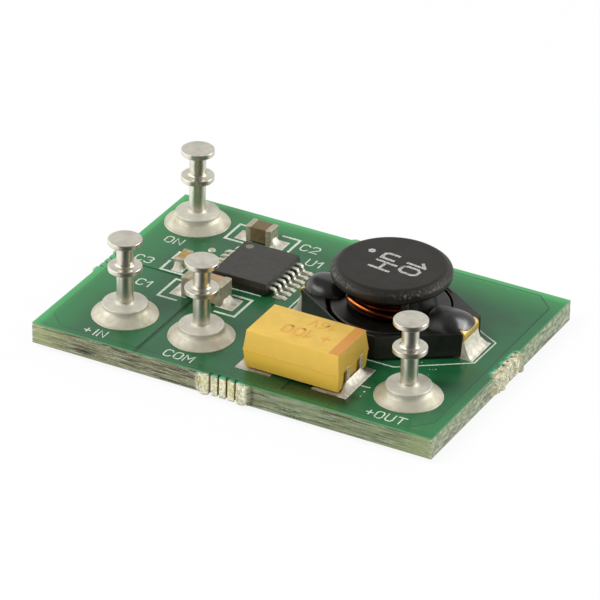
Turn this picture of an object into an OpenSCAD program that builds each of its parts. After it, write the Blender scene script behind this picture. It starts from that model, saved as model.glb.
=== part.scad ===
// Switching regulator module: a small circuit board that carries a regulator chip, a drum inductor,
// four capacitors and four turret terminals. Millimetres, +Z up. The origin lies under the middle of
// the board, level with the swaged ends of the terminals that the module stands on.

/* [Board] */
// Length of the board along its front edge
board_w = 30.65; // [30.2:0.05:40]
// Depth of the board from its front edge to its back edge
board_d = 21.25; // [20.5:0.05:30]
// Thickness of the glass-epoxy laminate
laminate_t = 1.41; // [0.8:0.01:2.4]
// Thickness of the copper on each face
copper_t = 0.05; // [0.03:0.005:0.1]
// Thickness of the solder mask over the copper
mask_t = 0.03; // [0.02:0.005:0.06]
// Distance from the edge of the board to the copper
copper_inset = 0.65; // [0.4:0.05:1]
// Cut-off corner of the copper sheets
copper_chamfer = 1.5; // [0.5:0.1:2.5]
// Width of the gaps between copper areas
copper_gap = 0.3; // [0.2:0.02:0.4]

/* [Breakaway tabs] */
// Length of a broken tab along its edge
tab_w = 3.7; // [3.4:0.1:5]
// How far the two nubs of a broken tab stand out of the edge
tab_out = 0.25; // [0.15:0.05:0.4]
// Radius of the rounded end of a nub
nub_r = 0.45; // [0.3:0.05:0.5]
// How far the torn webs between the perforations stand out of the edge
web_out = 0.08; // [0.04:0.02:0.12]
// Number of perforations in a tab
bite_count = 4; // [2:1:4]
// Distance between perforations
bite_pitch = 0.65; // [0.5:0.05:0.7]
// Diameter of a perforation
bite_d = 0.26; // [0.24:0.02:0.44]
// Depth of the perforations' centres inside the edge
bite_in = 0.14; // [0:0.02:0.3]
// Place of the front tab along its edge, from the middle
front_tab_x = -0.4; // [-4:0.1:4]
// Place of the back tab along its edge, from the middle
back_tab_x = 0; // [-4:0.1:4]
// Place of the left tab along its edge, from the middle
left_tab_y = -0.55; // [-2:0.05:2]
// Place of the right tab along its edge, from the middle
right_tab_y = 1.3; // [-2:0.05:2]

/* [Turret terminals] */
// Place of the input terminal along the front edge, as a share of the board's length
input_share = 0.16; // [0.13:0.001:0.168]
// Place of the ground terminal along the front edge, as a share of the board's length
ground_share = 0.356; // [0.34:0.001:0.37]
// Place of the output terminal along the front edge, as a share of the board's length
output_share = 0.8735; // [0.865:0.0005:0.89]
// Distance of the front row of terminals from the front edge
front_row = 4.2; // [3.4:0.05:4.6]
// Place of the enable terminal along the back edge, as a share of the board's length
enable_share = 0.091; // [0.085:0.001:0.1]
// Distance of the enable terminal from the back edge
enable_back = 3.2; // [2.8:0.05:4]
// Diameter of the shoulder that stands on the board
shoulder_d = 3.17; // [2.8:0.01:3.6]
// Height of the shoulder
shoulder_h = 0.98; // [0.8:0.02:1.4]
// Diameter of the necks that wires are wrapped round
neck_d = 1.19; // [1:0.01:1.5]
// Height of the lower neck
lower_neck_h = 2.5; // [2:0.05:4]
// Height of the upper neck
upper_neck_h = 1.67; // [1.2:0.01:3]
// Diameter of the collar between the necks
collar_d = 2.39; // [2:0.01:3]
// Height of the collar
collar_h = 0.41; // [0.3:0.01:0.8]
// Diameter of the head
head_d = 2.39; // [2:0.01:3]
// Height of the head
head_h = 0.38; // [0.3:0.01:0.8]
// Radius where a neck rises from the shoulder or the collar
neck_fillet = 0.22; // [0.1:0.01:0.3]
// Chamfer on the rims of the shoulder, collar and head
rim_break = 0.06; // [0.03:0.01:0.1]
// Diameter of the shank through the board
shank_d = 1.4; // [1.2:0.05:1.6]
// Diameter of the swaged rim under the board
swage_d = 2.1; // [1.9:0.05:2.4]
// How far the swaged rim stands below the board
swage_out = 0.42; // [0.3:0.02:0.8]
// Diameter of the hollow in the swaged end
swage_bore_d = 0.8; // [0.5:0.05:0.9]
// Depth of the hollow in the swaged end
swage_bore_h = 1.1; // [0.8:0.1:1.4]
// Gap between a shank and its plated hole
shank_clearance = 0.05; // [0.03:0.01:0.1]
// Wall of the copper plating in the holes
plating_t = 0.04; // [0.03:0.01:0.06]
// Diameter of the solder round a shoulder
shoulder_solder_d = 4.72; // [4.2:0.02:5]
// Height that the solder climbs up a shoulder
shoulder_solder_h = 0.58; // [0.4:0.02:0.76]
// Thickness of the solder at its outer edge
solder_edge_t = 0.1; // [0.06:0.01:0.12]
// Diameter of the solder round a swaged rim
swage_solder_d = 3.7; // [3.2:0.1:4.2]
// Height of the solder round a swaged rim
swage_solder_h = 0.3; // [0.2:0.02:0.4]

/* [Solder under the parts] */
// Thickness of the solder between a pad and the part on it
solder_t = 0.06; // [0.04:0.01:0.1]
// Diameter of the tinned via beside the regulator
via_pad_d = 0.6; // [0.4:0.05:0.8]
// Height of the solder dome on the via
via_dome_h = 0.16; // [0.1:0.02:0.2]
// Diameter of the via's drilled hole
via_hole_d = 0.36; // [0.3:0.02:0.38]
// Distance of the via from the regulator's middle, to the left
via_left = 4.4; // [4.2:0.05:4.6]
// Distance of the via from the regulator's middle, to the back
via_back = 1.6; // [1.2:0.05:2]

/* [Regulator] */
// Place of the regulator's middle along the front edge, as a share of the board's length
regulator_share = 0.3295; // [0.326:0.0005:0.335]
// Distance of the regulator's middle from the front edge
regulator_front = 13.38; // [13.2:0.02:13.6]
// Length of the regulator's body along its lead rows
regulator_l = 5; // [4.8:0.05:5.4]
// Width of the regulator's body between its lead rows
regulator_w = 4.4; // [4:0.05:4.6]
// Height of the regulator's body
regulator_h = 0.9; // [0.7:0.02:1.2]
// Gap under the regulator's body
regulator_standoff = 0.1; // [0.05:0.01:0.2]
// How far each half of the body leans in from its middle
regulator_lean = 0.09; // [0.04:0.01:0.12]
// Diameter of the pin-one dimple
dimple_d = 0.58; // [0.4:0.02:0.7]
// Depth of the pin-one dimple
dimple_h = 0.04; // [0.02:0.01:0.06]
// Distance of the dimple from the edges of the body's top
dimple_inset = 0.62; // [0.5:0.02:0.8]
// Number of leads on each side
lead_count = 7; // [4:1:7]
// Distance between leads
lead_pitch = 0.65; // [0.6:0.01:0.68]
// Width of a lead
lead_w = 0.28; // [0.18:0.01:0.28]
// Thickness of a lead
lead_t = 0.13; // [0.1:0.01:0.15]
// How far a lead runs inside the body
lead_root = 0.4; // [0.2:0.05:0.6]
// Straight length of a lead outside the body
lead_shoulder = 0.22; // [0.15:0.01:0.3]
// Inner radius of the bends of a lead
lead_bend_r = 0.13; // [0.08:0.01:0.15]
// Straight length of a lead's foot
lead_foot = 0.4; // [0.3:0.01:0.5]
// Width of the pad under a lead
lead_pad_w = 0.36; // [0.3:0.01:0.4]
// How far a pad reaches beyond the toe of its lead
lead_pad_out = 0.28; // [0.15:0.01:0.35]
// Height of the solder at the toe of a lead
toe_solder_h = 0.11; // [0.05:0.01:0.12]

/* [Inductor] */
// Share of the room between the regulator and the right edge that lies left of the inductor
inductor_share = 0.297; // [0.2:0.001:0.45]
// Gap between the output capacitor's pads and the inductor's base
inductor_row_gap = 0.9; // [0.5:0.01:1.4]
// Length of the inductor over its metal ends
inductor_l = 12.6; // [12.2:0.05:13.2]
// Width of the inductor's base
inductor_w = 9.4; // [9.3:0.05:10.4]
// Width of the flat ends of the base, and of the metal on them
inductor_end_w = 2.9; // [2.6:0.05:3.4]
// Length of the flat at the front and back of the base
inductor_flat = 2.6; // [2.2:0.05:3.4]
// Height of the base above its solder
inductor_base_h = 1.92; // [1.6:0.02:2.6]
// Thickness of the metal ends
clip_t = 0.15; // [0.1:0.01:0.2]
// Length of a metal end under the base
clip_foot = 1.9; // [1.4:0.05:2.2]
// Length of a metal end on top of the base
clip_lip = 0.9; // [0.7:0.05:1.1]
// Diameter of the core's lower flange
core_low_d = 8.4; // [7.6:0.02:8.46]
// Gap between the lower flange and the wall of its seat
core_gap = 0.13; // [0.1:0.01:0.15]
// Depth of the seat in the base
core_seat = 0.95; // [0.6:0.05:1.1]
// Diameter of the core's top disc
core_top_d = 8.38; // [7.6:0.02:9]
// Thickness of the top disc
core_top_h = 1.2; // [0.8:0.05:1.4]
// Radius of the top disc's rim
core_rim_r = 0.36; // [0.2:0.02:0.38]
// Diameter of the core's hub
core_hub_d = 3.8; // [3:0.1:4.4]
// Diameter of the enamelled wire
wire_d = 0.46; // [0.36:0.01:0.5]
// Number of turns of wire, one above the other
turn_count = 4; // [3:1:6]
// Gap under the straight ends of the wire
wire_lift = 0.04; // [0.02:0.01:0.1]
// Diameter of the winding
winding_d = 6.1; // [5.4:0.05:6.6]
// Radius of an epoxy cover over a wire's end, seen from above
cover_r = 1.75; // [1.5:0.05:1.9]
// Height of an epoxy cover
cover_h = 0.82; // [0.75:0.01:1.2]
// How far an epoxy cover stops short of the inductor's end
cover_end = 0.12; // [0.05:0.01:0.3]
// How far the cover at the output end sits towards the front
cover_shift = 0.35; // [0:0.05:0.4]
// Gap between an epoxy cover and the winding
cover_gap = 0.08; // [0.05:0.01:0.2]
// How far an inductor's pad reaches beyond its end
inductor_pad_out = 0.7; // [0.5:0.05:0.9]
// Height that solder climbs up the inductor's ends
inductor_solder_h = 1; // [0.6:0.05:1.3]

/* [Output capacitor] */
// Gap between the output terminal's solder and the output capacitor's pad
output_cap_gap = 1.05; // [0.4:0.05:1.2]
// Distance of the output capacitor's pads from the front edge
output_cap_front = 1.68; // [1:0.01:1.8]
// Length of the moulded body
output_cap_l = 7.3; // [7:0.05:7.5]
// Width of the moulded body
output_cap_w = 4.3; // [4:0.05:4.6]
// Height of the moulded body
output_cap_h = 2.84; // [2.4:0.02:4]
// Height of the mould's parting line above the body's underside
output_cap_parting = 1.42; // [1.1:0.02:1.6]
// How far the upper half leans in
output_cap_lean = 0.16; // [0.08:0.01:0.2]
// How far the lower half leans in
output_cap_under_lean = 0.12; // [0.08:0.01:0.16]
// Width of a metal tab
strap_w = 2.5; // [2.2:0.05:2.9]
// Thickness of a metal tab
strap_t = 0.14; // [0.1:0.01:0.18]
// Length of a tab under the body
strap_foot = 1.3; // [1:0.05:1.6]
// How far a tab runs inside the body
strap_root = 0.7; // [0.4:0.05:0.9]
// Height of the bridge below the fork of a tab
strap_bridge = 0.45; // [0.3:0.05:0.7]
// Width of the moulded nub between the prongs of a tab
strap_nub_w = 1.1; // [0.9:0.05:1.3]
// Gap round a tab in the body's end
strap_gap = 0.12; // [0.08:0.01:0.2]
// How far the output capacitor's pads reach beyond its ends
output_pad_out = 0.6; // [0.4:0.05:0.8]
// How far the output capacitor's pads reach under it
output_pad_in = 2.1; // [1.7:0.05:2.4]
// How much wider a pad is than the output capacitor
output_pad_more = 0.15; // [0.1:0.05:0.4]
// Height that solder climbs up the output capacitor's tabs
output_solder_h = 0.4; // [0.2:0.05:0.42]

/* [Ceramic capacitors] */
// Distance of the input capacitor's middle from the regulator's, to the left
input_cap_left = 1.5; // [1.3:0.05:1.7]
// Distance of the input capacitor's middle from the regulator's, to the front
input_cap_front = 4.38; // [4.2:0.02:4.5]
// Length of the input capacitor
input_cap_l = 3.2; // [2.8:0.05:3.4]
// Width of the input capacitor
input_cap_w = 1.6; // [1.2:0.05:1.8]
// Height of the input capacitor
input_cap_h = 1.55; // [0.8:0.05:1.8]
// Distance of the bypass capacitor's middle from the regulator's, to the left
bypass_cap_left = 2.05; // [1.9:0.05:2.1]
// Distance of the bypass capacitor's middle from the regulator's, to the back
bypass_cap_back = 4.62; // [4.4:0.02:5]
// Length of the bypass capacitor
bypass_cap_l = 2; // [1.8:0.05:2.2]
// Width of the bypass capacitor
bypass_cap_w = 1.25; // [1:0.05:1.4]
// Height of the bypass capacitor
bypass_cap_h = 1.25; // [0.8:0.05:1.4]
// Distance of the soft-start capacitor's middle from the regulator's, to the left
start_cap_left = 5.1; // [4.9:0.05:5.3]
// Distance of the soft-start capacitor's middle from the regulator's, to the front
start_cap_front = 1.18; // [1:0.02:1.3]
// Length of the soft-start capacitor
start_cap_l = 1.6; // [1.4:0.05:1.7]
// Width of the soft-start capacitor
start_cap_w = 0.8; // [0.7:0.05:0.9]
// Height of the soft-start capacitor
start_cap_h = 0.82; // [0.6:0.02:1]
// Width of the metal band at each end
end_band = 0.42; // [0.3:0.02:0.5]
// Width of the metal bands of the soft-start capacitor
start_band = 0.34; // [0.25:0.01:0.4]
// Thickness of the metal at each end
end_t = 0.04; // [0.03:0.01:0.06]
// Radius of the edges of the metal ends
end_round = 0.14; // [0.1:0.01:0.18]
// How far a pad reaches beyond the end of its capacitor
cap_pad_out = 0.92; // [0.6:0.02:0.96]
// How far the soft-start capacitor's pads reach beyond its ends
start_pad_out = 0.36; // [0.25:0.01:0.4]
// How far a pad reaches under its capacitor
cap_pad_in = 0.5; // [0.4:0.02:0.6]
// How much wider a pad is than its capacitor
cap_pad_more = 0.1; // [0:0.02:0.2]
// Height that solder climbs up a ceramic capacitor's ends
cap_solder_h = 0.45; // [0.2:0.05:0.5]
// Length of the solder slope beyond a ceramic capacitor's ends
cap_solder_out = 0.5; // [0.3:0.05:0.55]

/* [Hidden] */
$fn = 48;
swage_top_z = swage_out + mask_t;
laminate_z = swage_top_z + copper_t;
copper_z = laminate_z + laminate_t;
pad_z = copper_z + copper_t;
mask_z = pad_z + mask_t;
seat_z = pad_z + solder_t;
barrel_d = shank_d + 2 * shank_clearance;
hole_d = barrel_d + 2 * plating_t;
copper_w = board_w - 2 * copper_inset;
copper_d = board_d - 2 * copper_inset;
slope_steps = 7;
left_x = -board_w / 2;
front_y = -board_d / 2;

input_at = [left_x + input_share * board_w, front_y + front_row];
ground_at = [left_x + ground_share * board_w, input_at.y];
output_at = [left_x + output_share * board_w, input_at.y];
enable_at = [left_x + enable_share * board_w, board_d / 2 - enable_back];
terminals = [input_at, ground_at, output_at, enable_at];

regulator_at = [left_x + regulator_share * board_w, front_y + regulator_front];
via_at = regulator_at + [-via_left, via_back];
lead_z = regulator_standoff + regulator_h / 2 - lead_t / 2;
riser_x = regulator_w / 2 + lead_shoulder + lead_bend_r;
heel_x = riser_x + lead_t + lead_bend_r;
toe_x = heel_x + lead_foot;
lead_pad_x = riser_x - lead_bend_r / 2;
lead_pad_l = toe_x + lead_pad_out - lead_pad_x;

output_pad_w = output_cap_w + output_pad_more;
output_pad_l = output_pad_out + output_pad_in;
output_cap_at = [output_at.x - shoulder_solder_d / 2 - output_cap_gap - output_pad_out - output_cap_l / 2,
                 front_y + output_cap_front + output_pad_w / 2];
parting_z = strap_t + output_cap_parting;
pocket_w = strap_w + 2 * strap_gap;
pocket_d = strap_t + strap_gap;

lead_end = regulator_at.x + toe_x + lead_pad_out;
inductor_span = inductor_l + 2 * inductor_pad_out;
inductor_room = board_w / 2 - lead_end - inductor_span;
inductor_at = [lead_end + inductor_share * inductor_room + inductor_span / 2,
               output_cap_at.y + output_pad_w / 2 + inductor_row_gap + inductor_w / 2];
base_l = inductor_l - 2 * clip_t;
seat_d = core_low_d + 2 * core_gap;
seat_floor = inductor_base_h - core_seat;
winding_h = turn_count * wire_d;
disc_z = inductor_base_h + winding_h;
wire_z = inductor_base_h + wire_lift + wire_d / 2;
cover_x = inductor_l / 2 - cover_end - cover_r;
cover_ball_r = (cover_r * cover_r + cover_h * cover_h) / (2 * cover_h);

input_cap_at = regulator_at - [input_cap_left, input_cap_front];
bypass_cap_at = regulator_at + [-bypass_cap_left, bypass_cap_back];
start_cap_at = regulator_at - [start_cap_left, start_cap_front];

// Points of a hollow solder slope from a wall of height h out to an edge of height edge
function slope_points(out, h, edge) =
    [for (i = [0 : slope_steps])
        let (a = 90 * i / slope_steps)
        [out * (1 - cos(a)), edge + (h - edge) * (1 - sin(a))]];

module layer(z, t) {
    translate([0, 0, z])
        linear_extrude(height = t)
            children();
}

module at_terminals() {
    for (place = terminals)
        translate(place)
            children();
}

// Places its children at both ends of a part, turned so that +X points away from the part
module at_both_ends(l) {
    for (turn = [0, 180])
        rotate(turn)
            translate([l / 2, 0])
                children();
}

// Places its children at each broken tab, with -Y pointing out of the board
module at_tabs() {
    translate([front_tab_x, front_y])
        children();
    translate([back_tab_x, -front_y])
        rotate(180)
            children();
    translate([left_x, left_tab_y])
        rotate(-90)
            children();
    translate([-left_x, right_tab_y])
        rotate(90)
            children();
}

// Raised rests of a tab: a nub at each end and a torn strip between
module tab_rest() {
    for (side = [-1, 1])
        translate([side * (tab_w / 2 - nub_r), nub_r - tab_out])
            circle(r = nub_r);
    translate([-tab_w / 2 + nub_r, -web_out])
        square([tab_w - 2 * nub_r, 2 * web_out]);
}

// Row of perforations, each open to the outside
module tab_bites() {
    for (i = [0 : bite_count - 1])
        translate([(i - (bite_count - 1) / 2) * bite_pitch, bite_in]) {
            circle(d = bite_d);
            translate([-bite_d / 3, -bite_in - tab_out])
                square([bite_d * 2 / 3, bite_in + tab_out]);
        }
}

module board_outline() {
    difference() {
        union() {
            square([board_w, board_d], center = true);
            at_tabs()
                tab_rest();
        }
        at_tabs()
            tab_bites();
    }
}

module terminal_holes() {
    at_terminals()
        circle(d = hole_d);
    translate(via_at)
        circle(d = via_hole_d);
}

// Rectangle with its four corners cut off, the outline of both copper sheets
module copper_outline() {
    x = copper_w / 2;
    y = copper_d / 2;
    c = copper_chamfer;
    polygon([[c - x, -y], [x - c, -y], [x, c - y], [x, y - c], [x - c, y], [c - x, y], [-x, y - c], [-x, c - y]]);
}

// Straight gap of the given width between two points
module gap_line(from, to, w) {
    run = to - from;
    translate(from)
        rotate(atan2(run.y, run.x))
            translate([-w / 2, -w / 2])
                square([norm(run) + w, w]);
}

// Gaps that part the top copper into input, ground, switch and output areas
module top_gaps(w) {
    input_x = (input_at.x + ground_at.x) / 2 + w / 2;
    input_y = (input_cap_at.y + start_cap_at.y) / 2;
    output_y = output_cap_at.y + output_pad_w / 2 + inductor_row_gap / 2;
    gap_line([input_x, front_y], [input_x, input_y], w);
    gap_line([input_x, input_y], [left_x, input_y], w);
    gap_line([output_cap_at.x, front_y], [output_cap_at.x, output_y], w);
    gap_line([output_cap_at.x, output_y], [inductor_at.x, output_y], w);
    gap_line([inductor_at.x, output_y], [inductor_at.x, -front_y], w);
}

// Rectangle of a pad row at one side of the regulator, grown on all sides
module lead_field(grow) {
    span = (lead_count - 1) * lead_pitch + lead_pad_w;
    translate(regulator_at)
        at_both_ends(2 * lead_pad_x)
            translate([-grow, -span / 2 - grow])
                square([lead_pad_l + 2 * grow, span + 2 * grow]);
}

module lead_pads() {
    translate(regulator_at)
        at_both_ends(2 * lead_pad_x)
            for (i = [0 : lead_count - 1])
                translate([0, (i - (lead_count - 1) / 2) * lead_pitch - lead_pad_w / 2])
                    square([lead_pad_l, lead_pad_w]);
}

// Two pads at the ends of a part of length l
module end_pads(l, w, inside, outside) {
    at_both_ends(l)
        translate([-inside, -w / 2])
            square([inside + outside, w]);
}

module input_capacitor_pads() {
    translate(input_cap_at)
        end_pads(input_cap_l, input_cap_w + cap_pad_more, cap_pad_in, cap_pad_out);
}

module bypass_capacitor_pads() {
    translate(bypass_cap_at)
        end_pads(bypass_cap_l, bypass_cap_w + cap_pad_more, cap_pad_in, cap_pad_out);
}

module start_capacitor_pads() {
    translate(start_cap_at)
        rotate(90)
            end_pads(start_cap_l, start_cap_w + cap_pad_more, cap_pad_in, start_pad_out);
}

module output_capacitor_pads() {
    translate(output_cap_at)
        end_pads(output_cap_l, output_pad_w, output_pad_in, output_pad_out);
}

module inductor_pads() {
    translate(inductor_at)
        end_pads(inductor_l, inductor_end_w, clip_foot, inductor_pad_out);
}

// Every place on the top face where the mask leaves the copper bare for solder
module top_openings() {
    at_terminals()
        circle(d = shoulder_solder_d);
    translate(via_at)
        circle(d = via_pad_d);
    lead_pads();
    input_capacitor_pads();
    bypass_capacitor_pads();
    start_capacitor_pads();
    output_capacitor_pads();
    inductor_pads();
}

module top_copper_areas() {
    difference() {
        union() {
            copper_outline();
            at_terminals()
                circle(d = shoulder_solder_d);
        }
        top_gaps(copper_gap);
        lead_field(copper_gap);
        terminal_holes();
    }
    lead_pads();
}

module board_laminate() {
    color("#a9ab7c")
        layer(laminate_z, laminate_t)
            difference() {
                board_outline();
                terminal_holes();
            }
}

module top_copper() {
    color("#b87333")
        layer(copper_z, copper_t)
            top_copper_areas();
}

// One ground sheet, with an insulated ring round each terminal that carries another voltage
module bottom_sheet() {
    difference() {
        copper_outline();
        for (place = [input_at, output_at, enable_at])
            translate(place)
                difference() {
                    circle(d = swage_solder_d + 3 * copper_gap);
                    circle(d = swage_solder_d + copper_gap);
                }
    }
}

module bottom_copper() {
    color("#b87333")
        layer(swage_top_z, copper_t)
            difference() {
                bottom_sheet();
                terminal_holes();
            }
}

// Copper tubes that line the drilled holes from one face of the copper to the other
module hole_plating() {
    color("#c8845a")
        layer(swage_top_z, pad_z - swage_top_z) {
            at_terminals()
                difference() {
                    circle(d = hole_d);
                    circle(d = barrel_d);
                }
            translate(via_at)
                difference() {
                    circle(d = via_hole_d);
                    circle(d = via_hole_d - 2 * plating_t);
                }
        }
}

// The mask fills between the copper areas and sinks a little over each gap between them
module top_solder_mask() {
    color("#1f6b45")
        difference() {
            layer(copper_z, copper_t + mask_t)
                difference() {
                    board_outline();
                    top_openings();
                }
            layer(copper_z - copper_t, 2 * copper_t)
                top_copper_areas();
            layer(copper_z + mask_t, copper_t + mask_t)
                intersection() {
                    top_gaps(copper_gap - 2 * mask_t);
                    copper_outline();
                }
        }
}

module bottom_solder_mask() {
    color("#1f6b45")
        difference() {
            layer(swage_out, mask_t + copper_t)
                difference() {
                    board_outline();
                    at_terminals()
                        circle(d = swage_solder_d);
                }
            layer(swage_top_z, 2 * copper_t)
                bottom_sheet();
        }
}

// Disc of a turned part with both rims chamfered, as a half section
module turned_disc(d, z, h) {
    polygon([[0, z], [d / 2 - rim_break, z], [d / 2, z + rim_break], [d / 2, z + h - rim_break],
             [d / 2 - rim_break, z + h], [0, z + h]]);
}

// Hollow round where a neck rises from the face below it, as a half section
module neck_foot(z) {
    translate([neck_d / 2 - rim_break, z - rim_break])
        difference() {
            square(neck_fillet + rim_break);
            translate([neck_fillet + rim_break, neck_fillet + rim_break])
                circle(r = neck_fillet);
        }
}

// Turned turret terminal, swaged into the board
module turret() {
    collar_z = shoulder_h + lower_neck_h;
    head_z = collar_z + collar_h + upper_neck_h;
    color("#d8d3c4")
        difference() {
            translate([0, 0, pad_z])
                rotate_extrude() {
                    turned_disc(shoulder_d, 0, shoulder_h);
                    square([neck_d / 2, head_z]);
                    neck_foot(shoulder_h);
                    turned_disc(collar_d, collar_z, collar_h);
                    neck_foot(collar_z + collar_h);
                    turned_disc(head_d, head_z, head_h);
                    translate([0, -pad_z])
                        square([shank_d / 2, pad_z]);
                    translate([0, -pad_z])
                        turned_disc(swage_d, 0, swage_top_z);
                }
            translate([0, 0, -swage_bore_h])
                cylinder(d = swage_bore_d, h = 2 * swage_bore_h);
        }
}

// Solder from the edge of a pad up the side of a shoulder
module shoulder_solder() {
    inner_r = shoulder_d / 2;
    out = (shoulder_solder_d - shoulder_d) / 2;
    color("#d9d5c6")
        translate([0, 0, pad_z])
            rotate_extrude()
                translate([inner_r, 0])
                    polygon(concat([[0, 0]], slope_points(out, shoulder_solder_h, solder_edge_t), [[out, 0]]));
}

// Solder from the underside of the board down the side of a swaged rim
module swage_solder() {
    inner_r = swage_d / 2;
    out = (swage_solder_d - swage_d) / 2;
    color("#d9d5c6")
        translate([0, 0, swage_top_z])
            mirror([0, 0, 1])
                rotate_extrude()
                    translate([inner_r, 0])
                        polygon(concat([[0, 0]], slope_points(out, swage_solder_h, solder_edge_t), [[out, 0]]));
}

module input_terminal() {
    translate(input_at)
        turret();
}

module ground_terminal() {
    translate(ground_at)
        turret();
}

module output_terminal() {
    translate(output_at)
        turret();
}

module enable_terminal() {
    translate(enable_at)
        turret();
}

module input_terminal_solder() {
    translate(input_at)
        shoulder_solder();
}

module ground_terminal_solder() {
    translate(ground_at)
        shoulder_solder();
}

module output_terminal_solder() {
    translate(output_at)
        shoulder_solder();
}

module enable_terminal_solder() {
    translate(enable_at)
        shoulder_solder();
}

module input_swage_solder() {
    translate(input_at)
        swage_solder();
}

module ground_swage_solder() {
    translate(ground_at)
        swage_solder();
}

module output_swage_solder() {
    translate(output_at)
        swage_solder();
}

module enable_swage_solder() {
    translate(enable_at)
        swage_solder();
}

// Low dome of solder on the via's pad
module via_solder() {
    pad_r = via_pad_d / 2;
    ball_r = (pad_r * pad_r + via_dome_h * via_dome_h) / (2 * via_dome_h);
    color("#d9d5c6")
        translate([via_at.x, via_at.y, pad_z])
            intersection() {
                translate([0, 0, via_dome_h - ball_r])
                    sphere(r = ball_r);
                cylinder(r = pad_r, h = via_dome_h);
            }
}

// Block whose sides lean in as they rise
module leaning_block(l, w, h, lean) {
    intersection() {
        rotate([90, 0, 0])
            linear_extrude(height = w, center = true)
                polygon([[-l / 2, 0], [l / 2, 0], [l / 2 - lean, h], [lean - l / 2, h]]);
        rotate([90, 0, 90])
            linear_extrude(height = l, center = true)
                polygon([[-w / 2, 0], [w / 2, 0], [w / 2 - lean, h], [lean - w / 2, h]]);
    }
}

// Moulded block that leans in above and below its parting line
module moulded_block(l, w, low, high, low_lean, high_lean) {
    translate([0, 0, low]) {
        leaning_block(l, w, high, high_lean);
        mirror([0, 0, 1])
            leaning_block(l, w, low, low_lean);
    }
}

// Quarter of a bent strip, from +X round to +Y
module bend(inner_r, t) {
    intersection() {
        difference() {
            circle(r = inner_r + t);
            circle(r = inner_r);
        }
        square(inner_r + t);
    }
}

// Gull-wing lead seen from the side: root, shoulder, riser and foot
module lead_profile() {
    root_x = regulator_w / 2 - lead_root;
    shoulder_x = riser_x - lead_bend_r;
    upper_z = lead_z - lead_bend_r;
    lower_z = lead_t + lead_bend_r;
    translate([root_x, lead_z])
        square([shoulder_x - root_x, lead_t]);
    translate([shoulder_x, upper_z])
        bend(lead_bend_r, lead_t);
    translate([riser_x, lower_z])
        square([lead_t, upper_z - lower_z]);
    translate([heel_x, lower_z])
        rotate(180)
            bend(lead_bend_r, lead_t);
    translate([heel_x, 0])
        square([lead_foot, lead_t]);
}

// Places its children at each lead, with +X pointing out of the body
module at_leads() {
    translate([regulator_at.x, regulator_at.y, seat_z])
        for (turn = [0, 180], i = [0 : lead_count - 1])
            rotate(turn)
                translate([0, (i - (lead_count - 1) / 2) * lead_pitch, 0])
                    children();
}

module regulator_leads() {
    color("#e2ddcf")
        at_leads()
            rotate([90, 0, 0])
                linear_extrude(height = lead_w, center = true)
                    lead_profile();
}

module regulator_body() {
    dimple_x = regulator_w / 2 - regulator_lean - dimple_inset;
    dimple_y = regulator_l / 2 - regulator_lean - dimple_inset;
    half = regulator_h / 2;
    color("#3a3634")
        difference() {
            translate([regulator_at.x, regulator_at.y, seat_z + regulator_standoff])
                difference() {
                    moulded_block(regulator_w, regulator_l, half, half, regulator_lean, regulator_lean);
                    translate([-dimple_x, dimple_y, regulator_h - dimple_h])
                        cylinder(d = dimple_d, h = 2 * dimple_h);
                }
            regulator_leads();
        }
}

// Film under each foot, with a small slope at its toe
module regulator_lead_solder() {
    color("#d9d5c6")
        at_leads()
            translate([0, lead_pad_w / 2, -solder_t])
                rotate([90, 0, 0])
                    linear_extrude(height = lead_pad_w)
                        polygon([[lead_pad_x, 0], [lead_pad_x + lead_pad_l, 0], [lead_pad_x + lead_pad_l, solder_t],
                                 [toe_x, solder_t + toe_solder_h], [toe_x, solder_t], [lead_pad_x, solder_t]]);
}

// Long octagon of the inductor's base
module base_outline() {
    x = base_l / 2;
    y = inductor_w / 2;
    e = inductor_end_w / 2;
    f = inductor_flat / 2;
    polygon([[x, -e], [x, e], [f, y], [-f, y], [-x, e], [-x, -e], [-f, -y], [f, -y]]);
}

module at_inductor() {
    translate([inductor_at.x, inductor_at.y, seat_z])
        children();
}

// Moulded base with a round seat for the core
module inductor_base() {
    color("#23211f")
        at_inductor()
            difference() {
                layer(clip_t, inductor_base_h - clip_t)
                    base_outline();
                layer(seat_floor, core_seat + clip_t)
                    circle(d = seat_d);
            }
}

// Half section of a disc with a rounded rim
module rounded_disc(d, z, h, r) {
    translate([0, z])
        square([d / 2 - r, h]);
    translate([0, z + r])
        square([d / 2, h - 2 * r]);
    for (rise = [r, h - r])
        translate([d / 2 - r, z + rise])
            circle(r = r);
}

// Ferrite spool: lower flange in the base's seat, hub, and top disc
module inductor_core() {
    color("#3a3733")
        at_inductor()
            rotate_extrude() {
                translate([0, seat_floor])
                    square([core_low_d / 2, core_seat]);
                translate([0, seat_floor])
                    square([core_hub_d / 2, disc_z - seat_floor]);
                rounded_disc(core_top_d, disc_z, core_top_h, core_rim_r);
            }
}

// Straight end of the wire from the winding to the lip of the metal end on the +X side
module wire_end() {
    start = core_hub_d / 2 + wire_d / 2;
    translate([start, 0, wire_z])
        rotate([0, 90, 0])
            cylinder(d = wire_d, h = inductor_l / 2 - clip_lip - start);
}

// Stacked turns of enamelled wire round the hub, with a straight end to each side
module inductor_winding() {
    color("#b8541e")
        at_inductor()
            difference() {
                union() {
                    rotate_extrude()
                        translate([0, inductor_base_h]) {
                            square([(winding_d - wire_d) / 2, winding_h]);
                            for (i = [0 : turn_count - 1])
                                translate([(winding_d - wire_d) / 2, (i + 0.5) * wire_d])
                                    circle(d = wire_d);
                        }
                    wire_end();
                    rotate(180)
                        wire_end();
                }
                cylinder(d = core_hub_d, h = disc_z);
            }
}

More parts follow.
